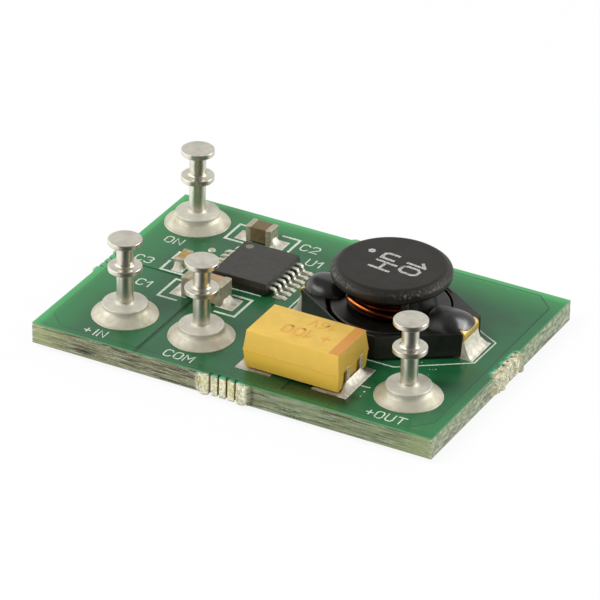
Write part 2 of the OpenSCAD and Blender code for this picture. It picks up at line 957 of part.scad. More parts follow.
// Metal strip folded round the +X end of the base
module clip() {
    top = inductor_base_h + clip_t;
    translate([inductor_l / 2, inductor_end_w / 2, 0])
        rotate([90, 0, 0])
            linear_extrude(height = inductor_end_w) {
                translate([-clip_foot, 0])
                    square([clip_foot, clip_t]);
                translate([-clip_t, 0])
                    square([clip_t, top]);
                translate([-clip_lip, inductor_base_h])
                    square([clip_lip, clip_t]);
            }
}

// Domed drop of epoxy over the wire's end on the +X side, moved towards -Y
module cover(shift) {
    difference() {
        translate([cover_x, -shift, inductor_base_h])
            intersection() {
                translate([0, 0, cover_h - cover_ball_r])
                    sphere(r = cover_ball_r);
                cylinder(r = cover_r, h = cover_h);
            }
        clip();
        wire_end();
        cylinder(d = winding_d + 2 * cover_gap, h = disc_z);
    }
}

// Solder under the +X metal end and up its outer face
module clip_solder() {
    film = [[-clip_foot, 0], [-clip_foot, solder_t], [0, solder_t]];
    slope = slope_points(inductor_pad_out, solder_t + inductor_solder_h, solder_t);
    translate([inductor_l / 2, inductor_end_w / 2, -solder_t])
        rotate([90, 0, 0])
            linear_extrude(height = inductor_end_w)
                polygon(concat(film, slope, [[inductor_pad_out, 0]]));
}

module inductor_switch_clip() {
    color("#d9b25a")
        at_inductor()
            rotate(180)
                clip();
}

module inductor_output_clip() {
    color("#d9b25a")
        at_inductor()
            clip();
}

module inductor_switch_cover() {
    color("#1c1b1a")
        at_inductor()
            rotate(180)
                cover(0);
}

module inductor_output_cover() {
    color("#1c1b1a")
        at_inductor()
            cover(cover_shift);
}

module inductor_switch_solder() {
    color("#d9d5c6")
        at_inductor()
            rotate(180)
                clip_solder();
}

module inductor_output_solder() {
    color("#d9d5c6")
        at_inductor()
            clip_solder();
}

module at_output_cap() {
    translate([output_cap_at.x, output_cap_at.y, seat_z])
        children();
}

// Hollow in the lower half of the +X end for a tab, round the nub between the tab's prongs
module strap_pocket() {
    translate([output_cap_l / 2 - pocket_d, -pocket_w / 2, 0])
        difference() {
            cube([2 * pocket_d, pocket_w, parting_z]);
            translate([-pocket_d, (pocket_w - strap_nub_w) / 2, 0])
                cube([4 * pocket_d, strap_nub_w, parting_z]);
        }
}

// Forked metal tab at the +X end: foot under the body, bridge, two prongs and their roots
module strap() {
    prong_w = (strap_w - strap_nub_w) / 2 - strap_gap;
    translate([output_cap_l / 2, 0, 0]) {
        translate([-strap_foot, -strap_w / 2, 0])
            cube([strap_foot, strap_w, strap_t]);
        translate([-strap_t, -strap_w / 2, 0])
            cube([strap_t, strap_w, strap_bridge]);
        for (y = [-strap_w / 2, strap_w / 2 - prong_w]) {
            translate([-strap_t, y, 0])
                cube([strap_t, prong_w, parting_z]);
            translate([-strap_root, y, parting_z - strap_t])
                cube([strap_root, prong_w, strap_t]);
        }
    }
}

// Moulded body with a hollow for the tab at each end
module output_capacitor_body() {
    above = output_cap_h - output_cap_parting;
    color("#dcab45")
        at_output_cap()
            difference() {
                translate([0, 0, strap_t])
                    moulded_block(output_cap_l, output_cap_w, output_cap_parting, above,
                                  output_cap_under_lean, output_cap_lean);
                for (turn = [0, 180])
                    rotate(turn) {
                        strap_pocket();
                        strap();
                        translate([output_cap_l / 2 - pocket_d, -strap_w / 2, 0])
                            cube([2 * pocket_d, strap_w, strap_bridge + strap_gap]);
                    }
            }
}

// Solder over the +X pad, with a slope up the bridge of the tab
module strap_solder() {
    slope = concat([[0, 0]], slope_points(output_pad_out, solder_t + output_solder_h, solder_t),
                   [[output_pad_out, 0]]);
    translate([output_cap_l / 2, 0, -solder_t]) {
        translate([-output_pad_in, -output_pad_w / 2, 0])
            cube([output_pad_l, output_pad_w, solder_t]);
        translate([0, strap_w / 2, 0])
            rotate([90, 0, 0])
                linear_extrude(height = strap_w)
                    polygon(slope);
    }
}

module output_capacitor_cathode_tab() {
    color("#cfcabc")
        at_output_cap()
            rotate(180)
                strap();
}

module output_capacitor_anode_tab() {
    color("#cfcabc")
        at_output_cap()
            strap();
}

module output_capacitor_cathode_solder() {
    color("#d9d5c6")
        at_output_cap()
            rotate(180)
                strap_solder();
}

module output_capacitor_anode_solder() {
    color("#d9d5c6")
        at_output_cap()
            strap_solder();
}

module rounded_rectangle(l, w, r) {
    square([l - 2 * r, w], center = true);
    square([l, w - 2 * r], center = true);
    for (x = [r - l / 2, l / 2 - r], y = [r - w / 2, w / 2 - r])
        translate([x, y])
            circle(r = r);
}

// Block with all its edges rounded, standing on z = 0
module rounded_block(l, w, h, r) {
    intersection() {
        linear_extrude(height = h)
            rounded_rectangle(l, w, r);
        translate([0, 0, h / 2])
            rotate([90, 0, 0])
                linear_extrude(height = w, center = true)
                    rounded_rectangle(l, h, r);
        translate([0, 0, h / 2])
            rotate([90, 0, 90])
                linear_extrude(height = l, center = true)
                    rounded_rectangle(w, h, r);
    }
}

// Ceramic block of a capacitor, inside its metal ends
module ceramic(l, w, h) {
    translate([0, 0, end_t])
        rounded_block(l - 2 * end_t, w - 2 * end_t, h - 2 * end_t, end_round - end_t);
}

// Metal caps on both ends of a ceramic block
module metal_ends(l, w, h, band) {
    difference() {
        intersection() {
            rounded_block(l, w, h, end_round);
            for (turn = [0, 180])
                rotate(turn)
                    translate([l / 2 - band, -w / 2, 0])
                        cube([band, w, h]);
        }
        ceramic(l, w, h);
    }
}

// Solder on both pads of a capacitor, with a slope up each of its ends
module end_solder(l, w, pad_out) {
    out = min(cap_solder_out, pad_out);
    slope = concat([[0, 0]], slope_points(out, solder_t + end_round + cap_solder_h, solder_t), [[out, 0]]);
    for (turn = [0, 180])
        rotate(turn)
            translate([l / 2, 0, -solder_t]) {
                translate([-cap_pad_in, -(w + cap_pad_more) / 2, 0])
                    cube([cap_pad_in + pad_out, w + cap_pad_more, solder_t]);
                translate([0, w / 2 - end_round, 0])
                    rotate([90, 0, 0])
                        linear_extrude(height = w - 2 * end_round)
                            polygon(slope);
            }
}

module at_seat(place) {
    translate([place.x, place.y, seat_z])
        children();
}

module input_capacitor_body() {
    color("#a9814f")
        at_seat(input_cap_at)
            ceramic(input_cap_l, input_cap_w, input_cap_h);
}

module input_capacitor_ends() {
    color("#b9b19c")
        at_seat(input_cap_at)
            metal_ends(input_cap_l, input_cap_w, input_cap_h, end_band);
}

module input_capacitor_solder() {
    color("#d9d5c6")
        at_seat(input_cap_at)
            end_solder(input_cap_l, input_cap_w, cap_pad_out);
}

module bypass_capacitor_body() {
    color("#6d5233")
        at_seat(bypass_cap_at)
            ceramic(bypass_cap_l, bypass_cap_w, bypass_cap_h);
}

module bypass_capacitor_ends() {
    color("#b9b19c")
        at_seat(bypass_cap_at)
            metal_ends(bypass_cap_l, bypass_cap_w, bypass_cap_h, end_band);
}

module bypass_capacitor_solder() {
    color("#d9d5c6")
        at_seat(bypass_cap_at)
            end_solder(bypass_cap_l, bypass_cap_w, cap_pad_out);
}

module start_capacitor_body() {
    color("#b58a35")
        at_seat(start_cap_at)
            rotate(90)
                ceramic(start_cap_l, start_cap_w, start_cap_h);
}

module start_capacitor_ends() {
    color("#cfc8b4")
        at_seat(start_cap_at)
            rotate(90)
                metal_ends(start_cap_l, start_cap_w, start_cap_h, start_band);
}

module start_capacitor_solder() {
    color("#d9d5c6")
        at_seat(start_cap_at)
            rotate(90)
                end_solder(start_cap_l, start_cap_w, start_pad_out);
}

board_laminate();
top_copper();
bottom_copper();
hole_plating();
top_solder_mask();
bottom_solder_mask();
input_terminal();
ground_terminal();
output_terminal();
enable_terminal();
input_terminal_solder();
ground_terminal_solder();
output_terminal_solder();
enable_terminal_solder();
input_swage_solder();
ground_swage_solder();
output_swage_solder();
enable_swage_solder();
via_solder();
regulator_body();
regulator_leads();
regulator_lead_solder();
inductor_base();
inductor_core();
inductor_winding();
inductor_switch_clip();
inductor_output_clip();
inductor_switch_cover();
inductor_output_cover();
inductor_switch_solder();
inductor_output_solder();
output_capacitor_body();
output_capacitor_cathode_tab();
output_capacitor_anode_tab();
output_capacitor_cathode_solder();
output_capacitor_anode_solder();
input_capacitor_body();
input_capacitor_ends();
input_capacitor_solder();
bypass_capacitor_body();
bypass_capacitor_ends();
bypass_capacitor_solder();
start_capacitor_body();
start_capacitor_ends();
start_capacitor_solder();
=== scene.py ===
"""Looks of a switching regulator module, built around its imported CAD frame.

Numbers are millimetres in the frame of the part (+Z up, origin under the middle of the board); points become
metres when they go into a mesh.  New pieces are numpy surfaces: rings carried along a profile, sections swept
along a path, and height fields over a pad.
"""

import bmesh
import bpy
import numpy as np
from mathutils import Matrix, Vector


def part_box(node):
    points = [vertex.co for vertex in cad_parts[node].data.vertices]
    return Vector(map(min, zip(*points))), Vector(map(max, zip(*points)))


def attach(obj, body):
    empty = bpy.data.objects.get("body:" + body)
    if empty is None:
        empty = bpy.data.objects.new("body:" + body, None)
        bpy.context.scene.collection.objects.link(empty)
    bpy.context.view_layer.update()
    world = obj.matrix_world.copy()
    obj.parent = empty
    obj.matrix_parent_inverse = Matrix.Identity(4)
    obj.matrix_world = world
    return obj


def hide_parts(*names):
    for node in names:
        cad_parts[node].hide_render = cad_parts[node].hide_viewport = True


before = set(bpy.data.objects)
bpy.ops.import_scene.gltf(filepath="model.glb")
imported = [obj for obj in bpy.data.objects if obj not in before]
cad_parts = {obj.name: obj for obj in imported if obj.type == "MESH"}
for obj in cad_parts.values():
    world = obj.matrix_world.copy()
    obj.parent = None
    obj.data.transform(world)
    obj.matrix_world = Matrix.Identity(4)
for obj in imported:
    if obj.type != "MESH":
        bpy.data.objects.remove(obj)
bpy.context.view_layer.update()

MM = 0.001
TERMINALS = ("input", "ground", "output", "enable")
CERAMICS = ("input", "bypass", "start")
dice = np.random.default_rng(11)


# Places and levels

def low_high(node):
    """Lowest and highest corner of a CAD node, in mm."""
    low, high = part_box(node)
    return np.array(low) / MM, np.array(high) / MM


def middle(node):
    """Middle of a CAD node's box, in mm."""
    low, high = low_high(node)
    return (low + high) / 2


def underside(node):
    """Middle of the underside of a CAD node's box, in mm."""
    return np.append(middle(node)[:2], low_high(node)[0][2])


LEFT, FRONT = -15.325, -10.625  # edges of the board
BOARD_TOP, PAD_TOP, SEAT = 1.99, 1.96, 2.02  # tops of the mask and the pads, and the level the parts stand on
TAB_Z = 1.2
TABS = [  # middles of the broken tabs on the four edges of the board, and the way out from each edge
    ((-0.4, FRONT, TAB_Z), (0, -1)),
    ((0.0, -FRONT, TAB_Z), (0, 1)),
    ((LEFT, -0.55, TAB_Z), (-1, 0)),
    ((-LEFT, 0.5, TAB_Z), (1, 0)),
]
CAP_LOW, CAP_HIGH = low_high("output_capacitor_body")
CAP_MID = (CAP_LOW + CAP_HIGH) / 2
PARTING = SEAT + 1.5  # parting line of the moulded capacitor
COIL = middle("inductor_core")[:2]
COIL_AT = (*COIL, 0)
BASE_TOP = low_high("inductor_base")[1][2]
WELL_FLOOR = BASE_TOP - 0.95  # floor of the round seat in the base
DISC_TOP = low_high("inductor_core")[1][2]
DISC_LOW = DISC_TOP - 1.2


# Surfaces

def rounded(corners, closed=False, steps=5, hold=0.02):
    """Polyline through corners (x, y, radius).  Each corner with a radius r becomes an arc that touches
    both of its sides: centre = corner + bisector * r / sin(half angle).  A point `hold` beyond each end
    of the arc keeps the shading of the flats flat."""
    corners = [tuple(c) + (0,) * (3 - len(c)) for c in corners]
    path = []
    count = len(corners)
    for i, (x, y, r) in enumerate(corners):
        here = np.array([x, y], float)
        if r <= 0 or (not closed and i in (0, count - 1)):
            path.append(here[None])
            continue
        a = np.array(corners[i - 1][:2], float) - here
        b = np.array(corners[(i + 1) % count][:2], float) - here
        room = min(np.linalg.norm(a), np.linalg.norm(b))
        a, b = a / np.linalg.norm(a), b / np.linalg.norm(b)
        half = np.arccos(np.clip(a @ b, -1, 1)) / 2
        reach = r / np.tan(half)
        centre = here + (a + b) / np.linalg.norm(a + b) * r / np.sin(half)
        start, end = here + a * reach - centre, here + b * reach - centre
        sweep = np.arccos(np.clip(start @ end / r ** 2, -1, 1))
        t = np.linspace(0, 1, steps)[:, None]
        arc = centre + (np.sin((1 - t) * sweep) * start + np.sin(t * sweep) * end) / np.sin(sweep)
        if room > reach + 2 * hold:
            arc = np.concatenate([(here + a * (reach + hold))[None], arc, (here + b * (reach + hold))[None]])
        path.append(arc)
    return np.concatenate(path)


def evenly(path, count):
    """The same line through `count` points at equal distances along it."""
    along = np.concatenate([[0], np.cumsum(np.linalg.norm(np.diff(path, axis=0), axis=1))])
    at = np.linspace(0, along[-1], count)
    return np.stack([np.interp(at, along, path[:, k]) for k in range(path.shape[1])], 1)


def around(count):
    """Equal angles round a circle."""
    return np.linspace(0, 2 * np.pi, count, endpoint=False)


def heading(turn):
    """Unit vector at that many degrees from +X."""
    return np.array([np.cos(np.radians(turn)), np.sin(np.radians(turn))])


def eased(share):
    """Share held to 0 to 1 and eased at both ends: s^2 * (3 - 2 s)."""
    s = np.clip(share, 0, 1)
    return s * s * (3 - 2 * s)


def grid_faces(rows, cols, wrap=True):
    """Quads between neighbouring points of a grid; with wrap, the last column joins the first."""
    i = np.arange(rows - 1)[:, None]
    j = np.arange(cols if wrap else cols - 1)[None]
    k = (j + 1) % cols
    quads = np.broadcast_arrays(i * cols + j, i * cols + k, (i + 1) * cols + k, (i + 1) * cols + j)
    return np.stack(quads, -1).reshape(-1, 4).tolist()


def sheet(points):
    """Closed shape from a grid of points: quads between neighbours, and one face through the rim."""
    rows, cols = points.shape[:2]
    first, last = np.arange(cols), (rows - 1) * cols + np.arange(cols - 2, -1, -1)
    right, left = np.arange(2, rows + 1) * cols - 1, np.arange(rows - 2, 0, -1) * cols
    rim = np.concatenate([first, right, last, left])
    return points.reshape(-1, 3), grid_faces(rows, cols, wrap=False) + [rim.tolist()]


def loft(rings, caps=True):
    """Closed rings of points, one after another, as (points, faces); caps close the first and the last
    ring."""
    rows, cols = rings.shape[:2]
    faces = grid_faces(rows, cols)
    if caps:
        faces += [list(range(cols))[::-1], list(range((rows - 1) * cols, rows * cols))]
    return rings.reshape(-1, 3), faces


def turned(profile, centre, segments=96):
    """Profile (radius, z) carried round a vertical axis: (r cos t, r sin t, z)."""
    t = around(segments)[None]
    r, z = profile[:, :1], profile[:, 1:]
    rings = np.stack([centre[0] + r * np.cos(t), centre[1] + r * np.sin(t), z + 0 * t], -1)
    return loft(rings, caps=False)


def rectangle(l, w, r, inset):
    """Outline of a rectangle with round corners, moved inwards by inset."""
    x, y, r = l / 2 - inset, w / 2 - inset, max(r - inset, 0.004)
    return rounded([(x, -y, r), (x, y, r), (-x, y, r), (-x, -y, r)], closed=True, hold=0)


def at_level(outline, z):
    """Flat outline as points at one height."""
    return np.column_stack([outline, np.full(len(outline), z)])


def moulded(profile, outline, centre=(0, 0, 0)):
    """Profile (inset, z) carried round an outline: each of its points is the outline, inset, at that
    height."""
    rings = np.stack([at_level(outline(inset), z) for inset, z in profile])
    return loft(rings + np.asarray(centre, float))


def block(l, w, h, edge, corner, centre=(0, 0, 0)):
    """Rectangular block that stands on z = 0, with its edges rounded by `edge` and its uprights by
    `corner`."""
    deep = min(l, w) * 0.45
    profile = rounded([(deep, 0), (0, 0, edge), (0, h, edge), (deep, h)])
    return moulded(profile, lambda inset: rectangle(l, w, corner, inset), centre)


def tangents(path):
    """Unit tangents along a path."""
    tangent = np.gradient(path, axis=0)
    return tangent / np.linalg.norm(tangent, axis=1)[:, None]


def strip(path, width, thickness, edge):
    """Flat metal strip: a rectangle with broken edges swept along a path (x, z), its width along y.  A
    point is path + normal * height + y, where the normal is the path's tangent turned by a quarter."""
    tangent = tangents(path)
    normal = np.stack([-tangent[:, 1], tangent[:, 0]], 1)
    section = rectangle(width, thickness, edge, 0)
    across, rise = section[:, 0], section[:, 1]
    flat = path[:, None] + normal[:, None] * rise[None, :, None]
    return loft(np.stack([flat[..., 0], np.broadcast_to(across, flat.shape[:2]), flat[..., 1]], -1))


def tube(path, radius, sides=10):
    """Round section swept along a path in space; its frame is built from the tangent and the vertical."""
    tangent = tangents(path)
    side = np.cross(tangent, [0, 0, 1])
    side /= np.linalg.norm(side, axis=1)[:, None]
    up = np.cross(side, tangent)
    t = around(sides)[None, :, None]
    return loft(path[:, None] + radius * (np.cos(t) * side[:, None] + np.sin(t) * up[:, None]))


def placed(shape, at, turn=0.0):
    """A shape turned about Z by `turn` degrees and moved."""
    points, faces = shape
    c, s = heading(turn)
    return points @ np.array([[c, s, 0], [-s, c, 0], [0, 0, 1]]) + np.asarray(at, float), faces


def joined(shapes):
    """Several shapes as one list of points and one of faces."""
    starts = np.cumsum([0] + [len(p) for p, _ in shapes])
    faces = [[int(v + start) for v in face] for (_, fs), start in zip(shapes, starts) for face in fs]
    return np.concatenate([p for p, _ in shapes]), faces


def mount(name, mesh, material, replaces):
    """Makes a mesh an object that rides on the board and stands for some CAD nodes."""
    mesh.materials.append(material)
    ob = bpy.data.objects.new(name, mesh)
    bpy.context.scene.collection.objects.link(ob)
    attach(ob, "root")
    if replaces:
        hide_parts(*replaces)
    return ob


def piece(name, shape, material, replaces=(), crease=35):
    """Makes a shape an object, with its doubles merged, its faces outwards and edges over `crease`
    sharp."""
    points, faces = shape
    mesh = bpy.data.meshes.new(name)
    mesh.from_pydata((points * MM).tolist(), [], faces)
    work = bmesh.new()
    work.from_mesh(mesh)
    bmesh.ops.remove_doubles(work, verts=work.verts, dist=1e-8)
    bmesh.ops.recalc_face_normals(work, faces=work.faces)
    work.to_mesh(mesh)
    work.free()
    mesh.shade_smooth()
    mesh.set_sharp_from_angle(angle=np.radians(crease))
    return mount(name, mesh, material, replaces)


def softened(name, node, width, material):
    """Copy of a CAD node with its doubles merged, its flat faces joined and its edges bevelled."""
    work = bmesh.new()
    work.from_mesh(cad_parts[node].data)
    bmesh.ops.remove_doubles(work, verts=work.verts, dist=1e-7)
    bmesh.ops.dissolve_limit(work, angle_limit=np.radians(1), verts=work.verts, edges=work.edges)
    mesh = bpy.data.meshes.new(name)
    work.to_mesh(mesh)
    work.free()
    mesh.shade_smooth()
    ob = mount(name, mesh, material, [node])
    bevel = ob.modifiers.new("edges", "BEVEL")
    bevel.width = width * MM
    bevel.segments = 3
    bevel.limit_method = "ANGLE"
    bevel.angle_limit = np.radians(15)
    bevel.harden_normals = True


# Shader nodes

class Field:
    """A value, colour or place that changes over a surface: an output of a shader node.  Arithmetic on
    fields adds Math nodes."""

    def __init__(self, tree, socket):
        self.tree = tree
        self.socket = socket

    def math(self, operation, a, b=0.0):
        """One Math node."""
        return Field(self.tree, add(self.tree, "Math", {0: a, 1: b}, operation=operation).outputs[0])

    def __add__(self, other):
        return self.math("ADD", self, other)

    def __sub__(self, other):
        return self.math("SUBTRACT", self, other)

    def __rsub__(self, other):
        return self.math("SUBTRACT", other, self)

    def __mul__(self, other):
        return self.math("MULTIPLY", self, other)

    def __rtruediv__(self, other):
        return self.math("DIVIDE", other, self)

    def __abs__(self):
        return self.math("ABSOLUTE", self)

    def below(self, limit):
        """1 where the field is under a limit, and 0 elsewhere."""
        return self.math("LESS_THAN", self, limit)

    def ramp(self, low, high, at_low, at_high):
        """Smooth step of the field from low..high to at_low..at_high."""
        inputs = {"Value": self, "From Min": low, "From Max": high, "To Min": at_low, "To Max": at_high}
        node = add(self.tree, "MapRange", inputs, interpolation_type="SMOOTHSTEP")
        return Field(self.tree, node.outputs[0])

    def rise(self, low, high, top=1.0):
        """Smooth step from 0 to `top`."""
        return self.ramp(low, high, 0.0, top)

    def fall(self, low, high, top=1.0):
        """Smooth step from `top` to 0."""
        return self.ramp(low, high, top, 0.0)

    def span(self, at_none, at_full):
        """Smooth value from at_none, where the field is 0, to at_full, where it is 1."""
        return self.ramp(0.0, 1.0, at_none, at_full)

    def mix(self, a, b):
        """Colour from a, where the field is 0, to b, where it is 1."""
        return Field(self.tree, add(self.tree, "Mix", {0: self, 6: a, 7: b}, data_type="RGBA").outputs[2])

    def turn_to(self, operation, other=(0, 0, 0)):
        """One Vector Math node that gives a place or direction."""
        node = add(self.tree, "VectorMath", {0: self, 1: other}, operation=operation)
        return Field(self.tree, node.outputs["Vector"])

    def measure(self, operation, other=(0, 0, 0)):
        """One Vector Math node that gives a value."""
        node = add(self.tree, "VectorMath", {0: self, 1: other}, operation=operation)
        return Field(self.tree, node.outputs["Value"])

    def stretched(self, x, y, z):
        """Place with its axes scaled."""
        return self.turn_to("MULTIPLY", (x, y, z))

    def split(self):
        """The x, y and z of a place."""
        return [Field(self.tree, socket) for socket in add(self.tree, "SeparateXYZ", {0: self}).outputs]

    def noise(self, size, detail=3.0, rough=0.55):
        """Noise over a place, whose patches are about `size` mm across."""
        inputs = {"Vector": self, "Scale": 1 / size, "Detail": detail, "Roughness": rough}
        return Field(self.tree, add(self.tree, "TexNoise", inputs).outputs[0])


def least(first, *others):
    """Smallest of some fields."""
    for other in others:
        first = first.math("MINIMUM", first, other)
    return first


def most(first, *others):
    """Largest of some fields."""
    for other in others:
        first = first.math("MAXIMUM", first, other)
    return first


def connect(value, socket):
    """Feeds a socket from a field, or sets it to a constant."""
    if isinstance(value, Field):
        value.tree.links.new(value.socket, socket)
    else:
        socket.default_value = value


def add(tree, kind, inputs=None, **settings):
    """New node; settings are its properties, inputs are fields or constants."""
    new = tree.nodes.new("ShaderNode" + kind)
    for key, value in settings.items():
        setattr(new, key, value)
    for key, value in (inputs or {}).items():
        connect(value, new.inputs[key])
    return new


def rgb(r, g, b):
    """Opaque colour for a socket."""
    return (r, g, b, 1.0)


def finish(name, **constants):
    """New material with constants set on its Principled shader: the material, the shader, and the place
    on the part in mm, from Object coordinates."""
    material = bpy.data.materials.new(name)
    material.use_nodes = True
    tree = material.node_tree
    shader = tree.nodes["Principled BSDF"]
    feed(shader, **constants)
    here = Field(tree, add(tree, "TexCoord").outputs["Object"])
    scaled = add(tree, "VectorMath", {0: here, "Scale": 1 / MM}, operation="SCALE")
    return material, shader, Field(tree, scaled.outputs[0])


def feed(shader, **sockets):
    """Gives the shader's sockets their fields or constants."""
    for key, value in sockets.items():
        connect(value, shader.inputs[key.replace("_", " ")])


def relief(shader, height, depth):
    """Bump of that depth in mm from a height of 0 to 1."""
    bump = add(height.tree, "Bump", {"Height": height, "Distance": depth * MM, "Strength": 1.0})
    feed(shader, Normal=Field(height.tree, bump.outputs[0]))


def group(name, sizes, outputs):
    """Empty node group with a Place, some sizes with their usual values, and outputs: its inputs as
    fields, and its output sockets."""
    tree = bpy.data.node_groups.new(name, "ShaderNodeTree")
    tree.interface.new_socket("Place", in_out="INPUT", socket_type="NodeSocketVector")
    for title, usual in sizes.items():
        socket = tree.interface.new_socket(title, in_out="INPUT", socket_type="NodeSocketFloat")
        socket.default_value = usual
    for title in outputs:
        tree.interface.new_socket(title, in_out="OUTPUT", socket_type="NodeSocketFloat")
    given = tree.nodes.new("NodeGroupInput").outputs
    fields = [Field(tree, given[title]) for title in ("Place", *sizes)]
    return fields, tree.nodes.new("NodeGroupOutput").inputs


def use(shared, place, **inputs):
    """Puts a shared group in a material: its outputs, in order."""
    new = place.tree.nodes.new("ShaderNodeGroup")
    new.node_tree = shared
    feed(new, Place=place, **inputs)
    return [Field(place.tree, socket) for socket in new.outputs]


def make_mottle():
    """Mottle: soft patches over fine grain, as a tone of 0 to 1 and a height."""
    (place, patch, grain), out = group("mottle", {"Patch": 0.6, "Grain": 0.06}, ["Tone", "Height"])
    patches = place.noise(patch, 2.0, 0.5)
    grains = place.noise(grain, 2.0, 0.5)
    connect(patches.rise(0.25, 0.75), out["Tone"])
    connect(patches * 0.6 + grains * 0.4, out["Height"])
    return place.tree


def make_specks():
    """Specks: small round dots at random places, as a mask; Share says how many of the cells hold one."""
    (place, cell, size, share), out = group("specks", {"Cell": 0.8, "Size": 0.1, "Share": 0.3}, ["Mask"])
    cells = add(place.tree, "TexVoronoi", {"Vector": place, "Scale": 1 / cell}).outputs
    near = (Field(place.tree, cells["Distance"]) * cell).below(size)
    chosen = Field(place.tree, cells["Color"]).split()[0].below(share)
    connect(near * chosen, out["Mask"])
    return place.tree


def make_breaks():
    """Breaks: a mask that is 1 at the broken tabs and fades at Reach mm from their middles."""
    (place, reach), out = group("tab_breaks", {"Reach": BREAK_REACH}, ["Mask"])
    near, far = reach * 0.85, reach * 1.1
    connect(most(*[place.measure("DISTANCE", at).fall(near, far) for at, _ in TABS]), out["Mask"])
    return place.tree


BREAK_REACH = 2.1
WARM_TINT = rgb(1.0, 0.95, 0.84)
MOTTLE, SPECKS, BREAKS = make_mottle(), make_specks(), make_breaks()


# Finishes of the board

COPPER_IN = {"left": 0.6, "right": 0.78, "front": 0.6, "back": 0.5}  # how far the copper stays from each edge
COPPER_CORNER = 1.3  # how much each of its corners is cut off
COPPER_GAP_X = -7.3  # a gap in it, from the front to the middle


def mask_over_copper(place, tone):
    """Colour of the solder mask before its dust, painted shadow and tears: over bare laminate at the rim it
    is lighter than over copper; painted shade darkens it along the step between them, more at the back right;
    it is dark along a gap in the copper; and a painted glow lightens it near the left and back edges and a
    little at the front right corner, for light that enters through the edges.  Gives that colour, the
    copper as a mask, and the distance from the nearest edge."""
    x, y, _ = place.split()
    from_left, from_right = x - LEFT, -LEFT - x
    from_front, from_back = y - FRONT, -FRONT - y
    side = least(from_left - COPPER_IN["left"], from_right - COPPER_IN["right"])
    ends = least(from_front - COPPER_IN["front"], from_back - COPPER_IN["back"])
    corner = (side + ends - COPPER_CORNER) * 0.7071
    inside = least(side, ends, corner)
    copper = most(inside.rise(-0.05, 0.05), from_front.fall(0.55, 0.85, 0.6))
    # Painted shade along the step where the mask falls off the copper's edge
    step = inside.rise(-0.12, 0.0) * inside.fall(0.0, 0.1)
    over_copper = tone.mix(rgb(0.011, 0.088, 0.030), rgb(0.017, 0.124, 0.044))
    over_bare = tone.mix(rgb(0.0145, 0.117, 0.038), rgb(0.021, 0.150, 0.050))
    colour = copper.mix(over_bare, over_copper)
    # Painted glow: lighter near the left and back edges and at the front right corner, for light that enters
    # through the board's edges
    waver = place.noise(7.0, 1.0) * 1.2
    glow_left = (from_left + waver).fall(0.4, 5.2, 0.48)
    glow_back = (from_back + waver).fall(0.4, 4.4, 0.70)
    glow_corner = (from_right + from_front).fall(1.0, 8.0, 0.28)
    colour = most(glow_left, glow_back, glow_corner).mix(colour, rgb(0.038, 0.280, 0.075))
    # Brighter painted glow in a thin strip along the left and back edges
    lit_edge = least(from_left, from_back)
    colour = lit_edge.fall(0.1, 0.95, 0.62).mix(colour, rgb(0.085, 0.460, 0.150))
    # The painted step shade is deeper towards the back right
    back_right = y.rise(1.0, 5.0) * x.rise(0.0, 4.0, 0.45)
    colour = (step * (back_right + 0.4)).mix(colour, rgb(0.008, 0.045, 0.016))
    slot = abs(x - COPPER_GAP_X).fall(0.05, 0.24) * y.fall(-2.6, -1.8)
    colour = (slot * 0.8).mix(colour, rgb(0.006, 0.040, 0.016))
    return colour, copper, least(from_right, from_front, lit_edge)


def make_mask_finish(name, top):
    """Glossy green solder mask.  On the top, a painted shadow of the output capacitor darkens it in front of
    that part, dust lies on it and its rim is pale; below, its rim is bare.  At the broken tabs it has
    lifted, and torn laminate shows."""
    material, shader, place = finish(name, IOR=1.5, Specular_IOR_Level=0.46)
    tone, grain = use(MOTTLE, place, Patch=2.2, Grain=0.11)
    colour, copper, from_edge = mask_over_copper(place, tone)
    x, y, _ = place.split()
    if top:
        # Painted shadow of the output capacitor on the mask in front of it, darkest close to it
        along = x.rise(CAP_LOW[0] - 0.8, CAP_LOW[0] + 4.5) * x.fall(CAP_HIGH[0] + 0.6, CAP_HIGH[0] + 1.6)
        before = y.rise(FRONT + 0.25, FRONT + 1.2) * y.fall(CAP_LOW[1] + 0.5, CAP_LOW[1] + 1.0, 0.94)
        colour = (along * before).mix(colour, rgb(0.007, 0.024, 0.006))
        dust = use(SPECKS, place, Cell=1.3, Size=0.035, Share=0.12)[0]
        colour = (dust * 0.5).mix(colour, rgb(0.45, 0.55, 0.42))
        colour = (from_edge.fall(0.0, 0.1) * 0.45).mix(colour, rgb(0.16, 0.42, 0.20))
        lifted_mask = rgb(0.05, 0.42, 0.24)
    else:
        colour = from_edge.fall(0.05, 0.12).mix(colour, rgb(0.22, 0.25, 0.15))
        lifted_mask = rgb(0.34, 0.33, 0.22)
    torn = use(BREAKS, place, Reach=BREAK_REACH)[0]
    ragged = from_edge + place.noise(0.24) * 0.4 - x.ramp(13.0, 14.0, 0.03, 0.40)
    lifted = ragged.fall(0.16, 0.34) * place.noise(0.8, 1.0).ramp(0.42, 0.58, 0.25, 1.0)
    colour = (torn * lifted).mix(colour, lifted_mask)
    laid_bare = place.noise(0.3, 2.0).rise(0.40, 0.60).mix(rgb(0.42, 0.34, 0.17), rgb(0.70, 0.67, 0.50))
    colour = (torn * ragged.fall(0.02, 0.10)).mix(colour, laid_bare)
    feed(shader, Base_Color=colour, Roughness=tone.span(0.26, 0.36))
    relief(shader, copper * 0.8 + grain * 0.2, 0.012)
    return material


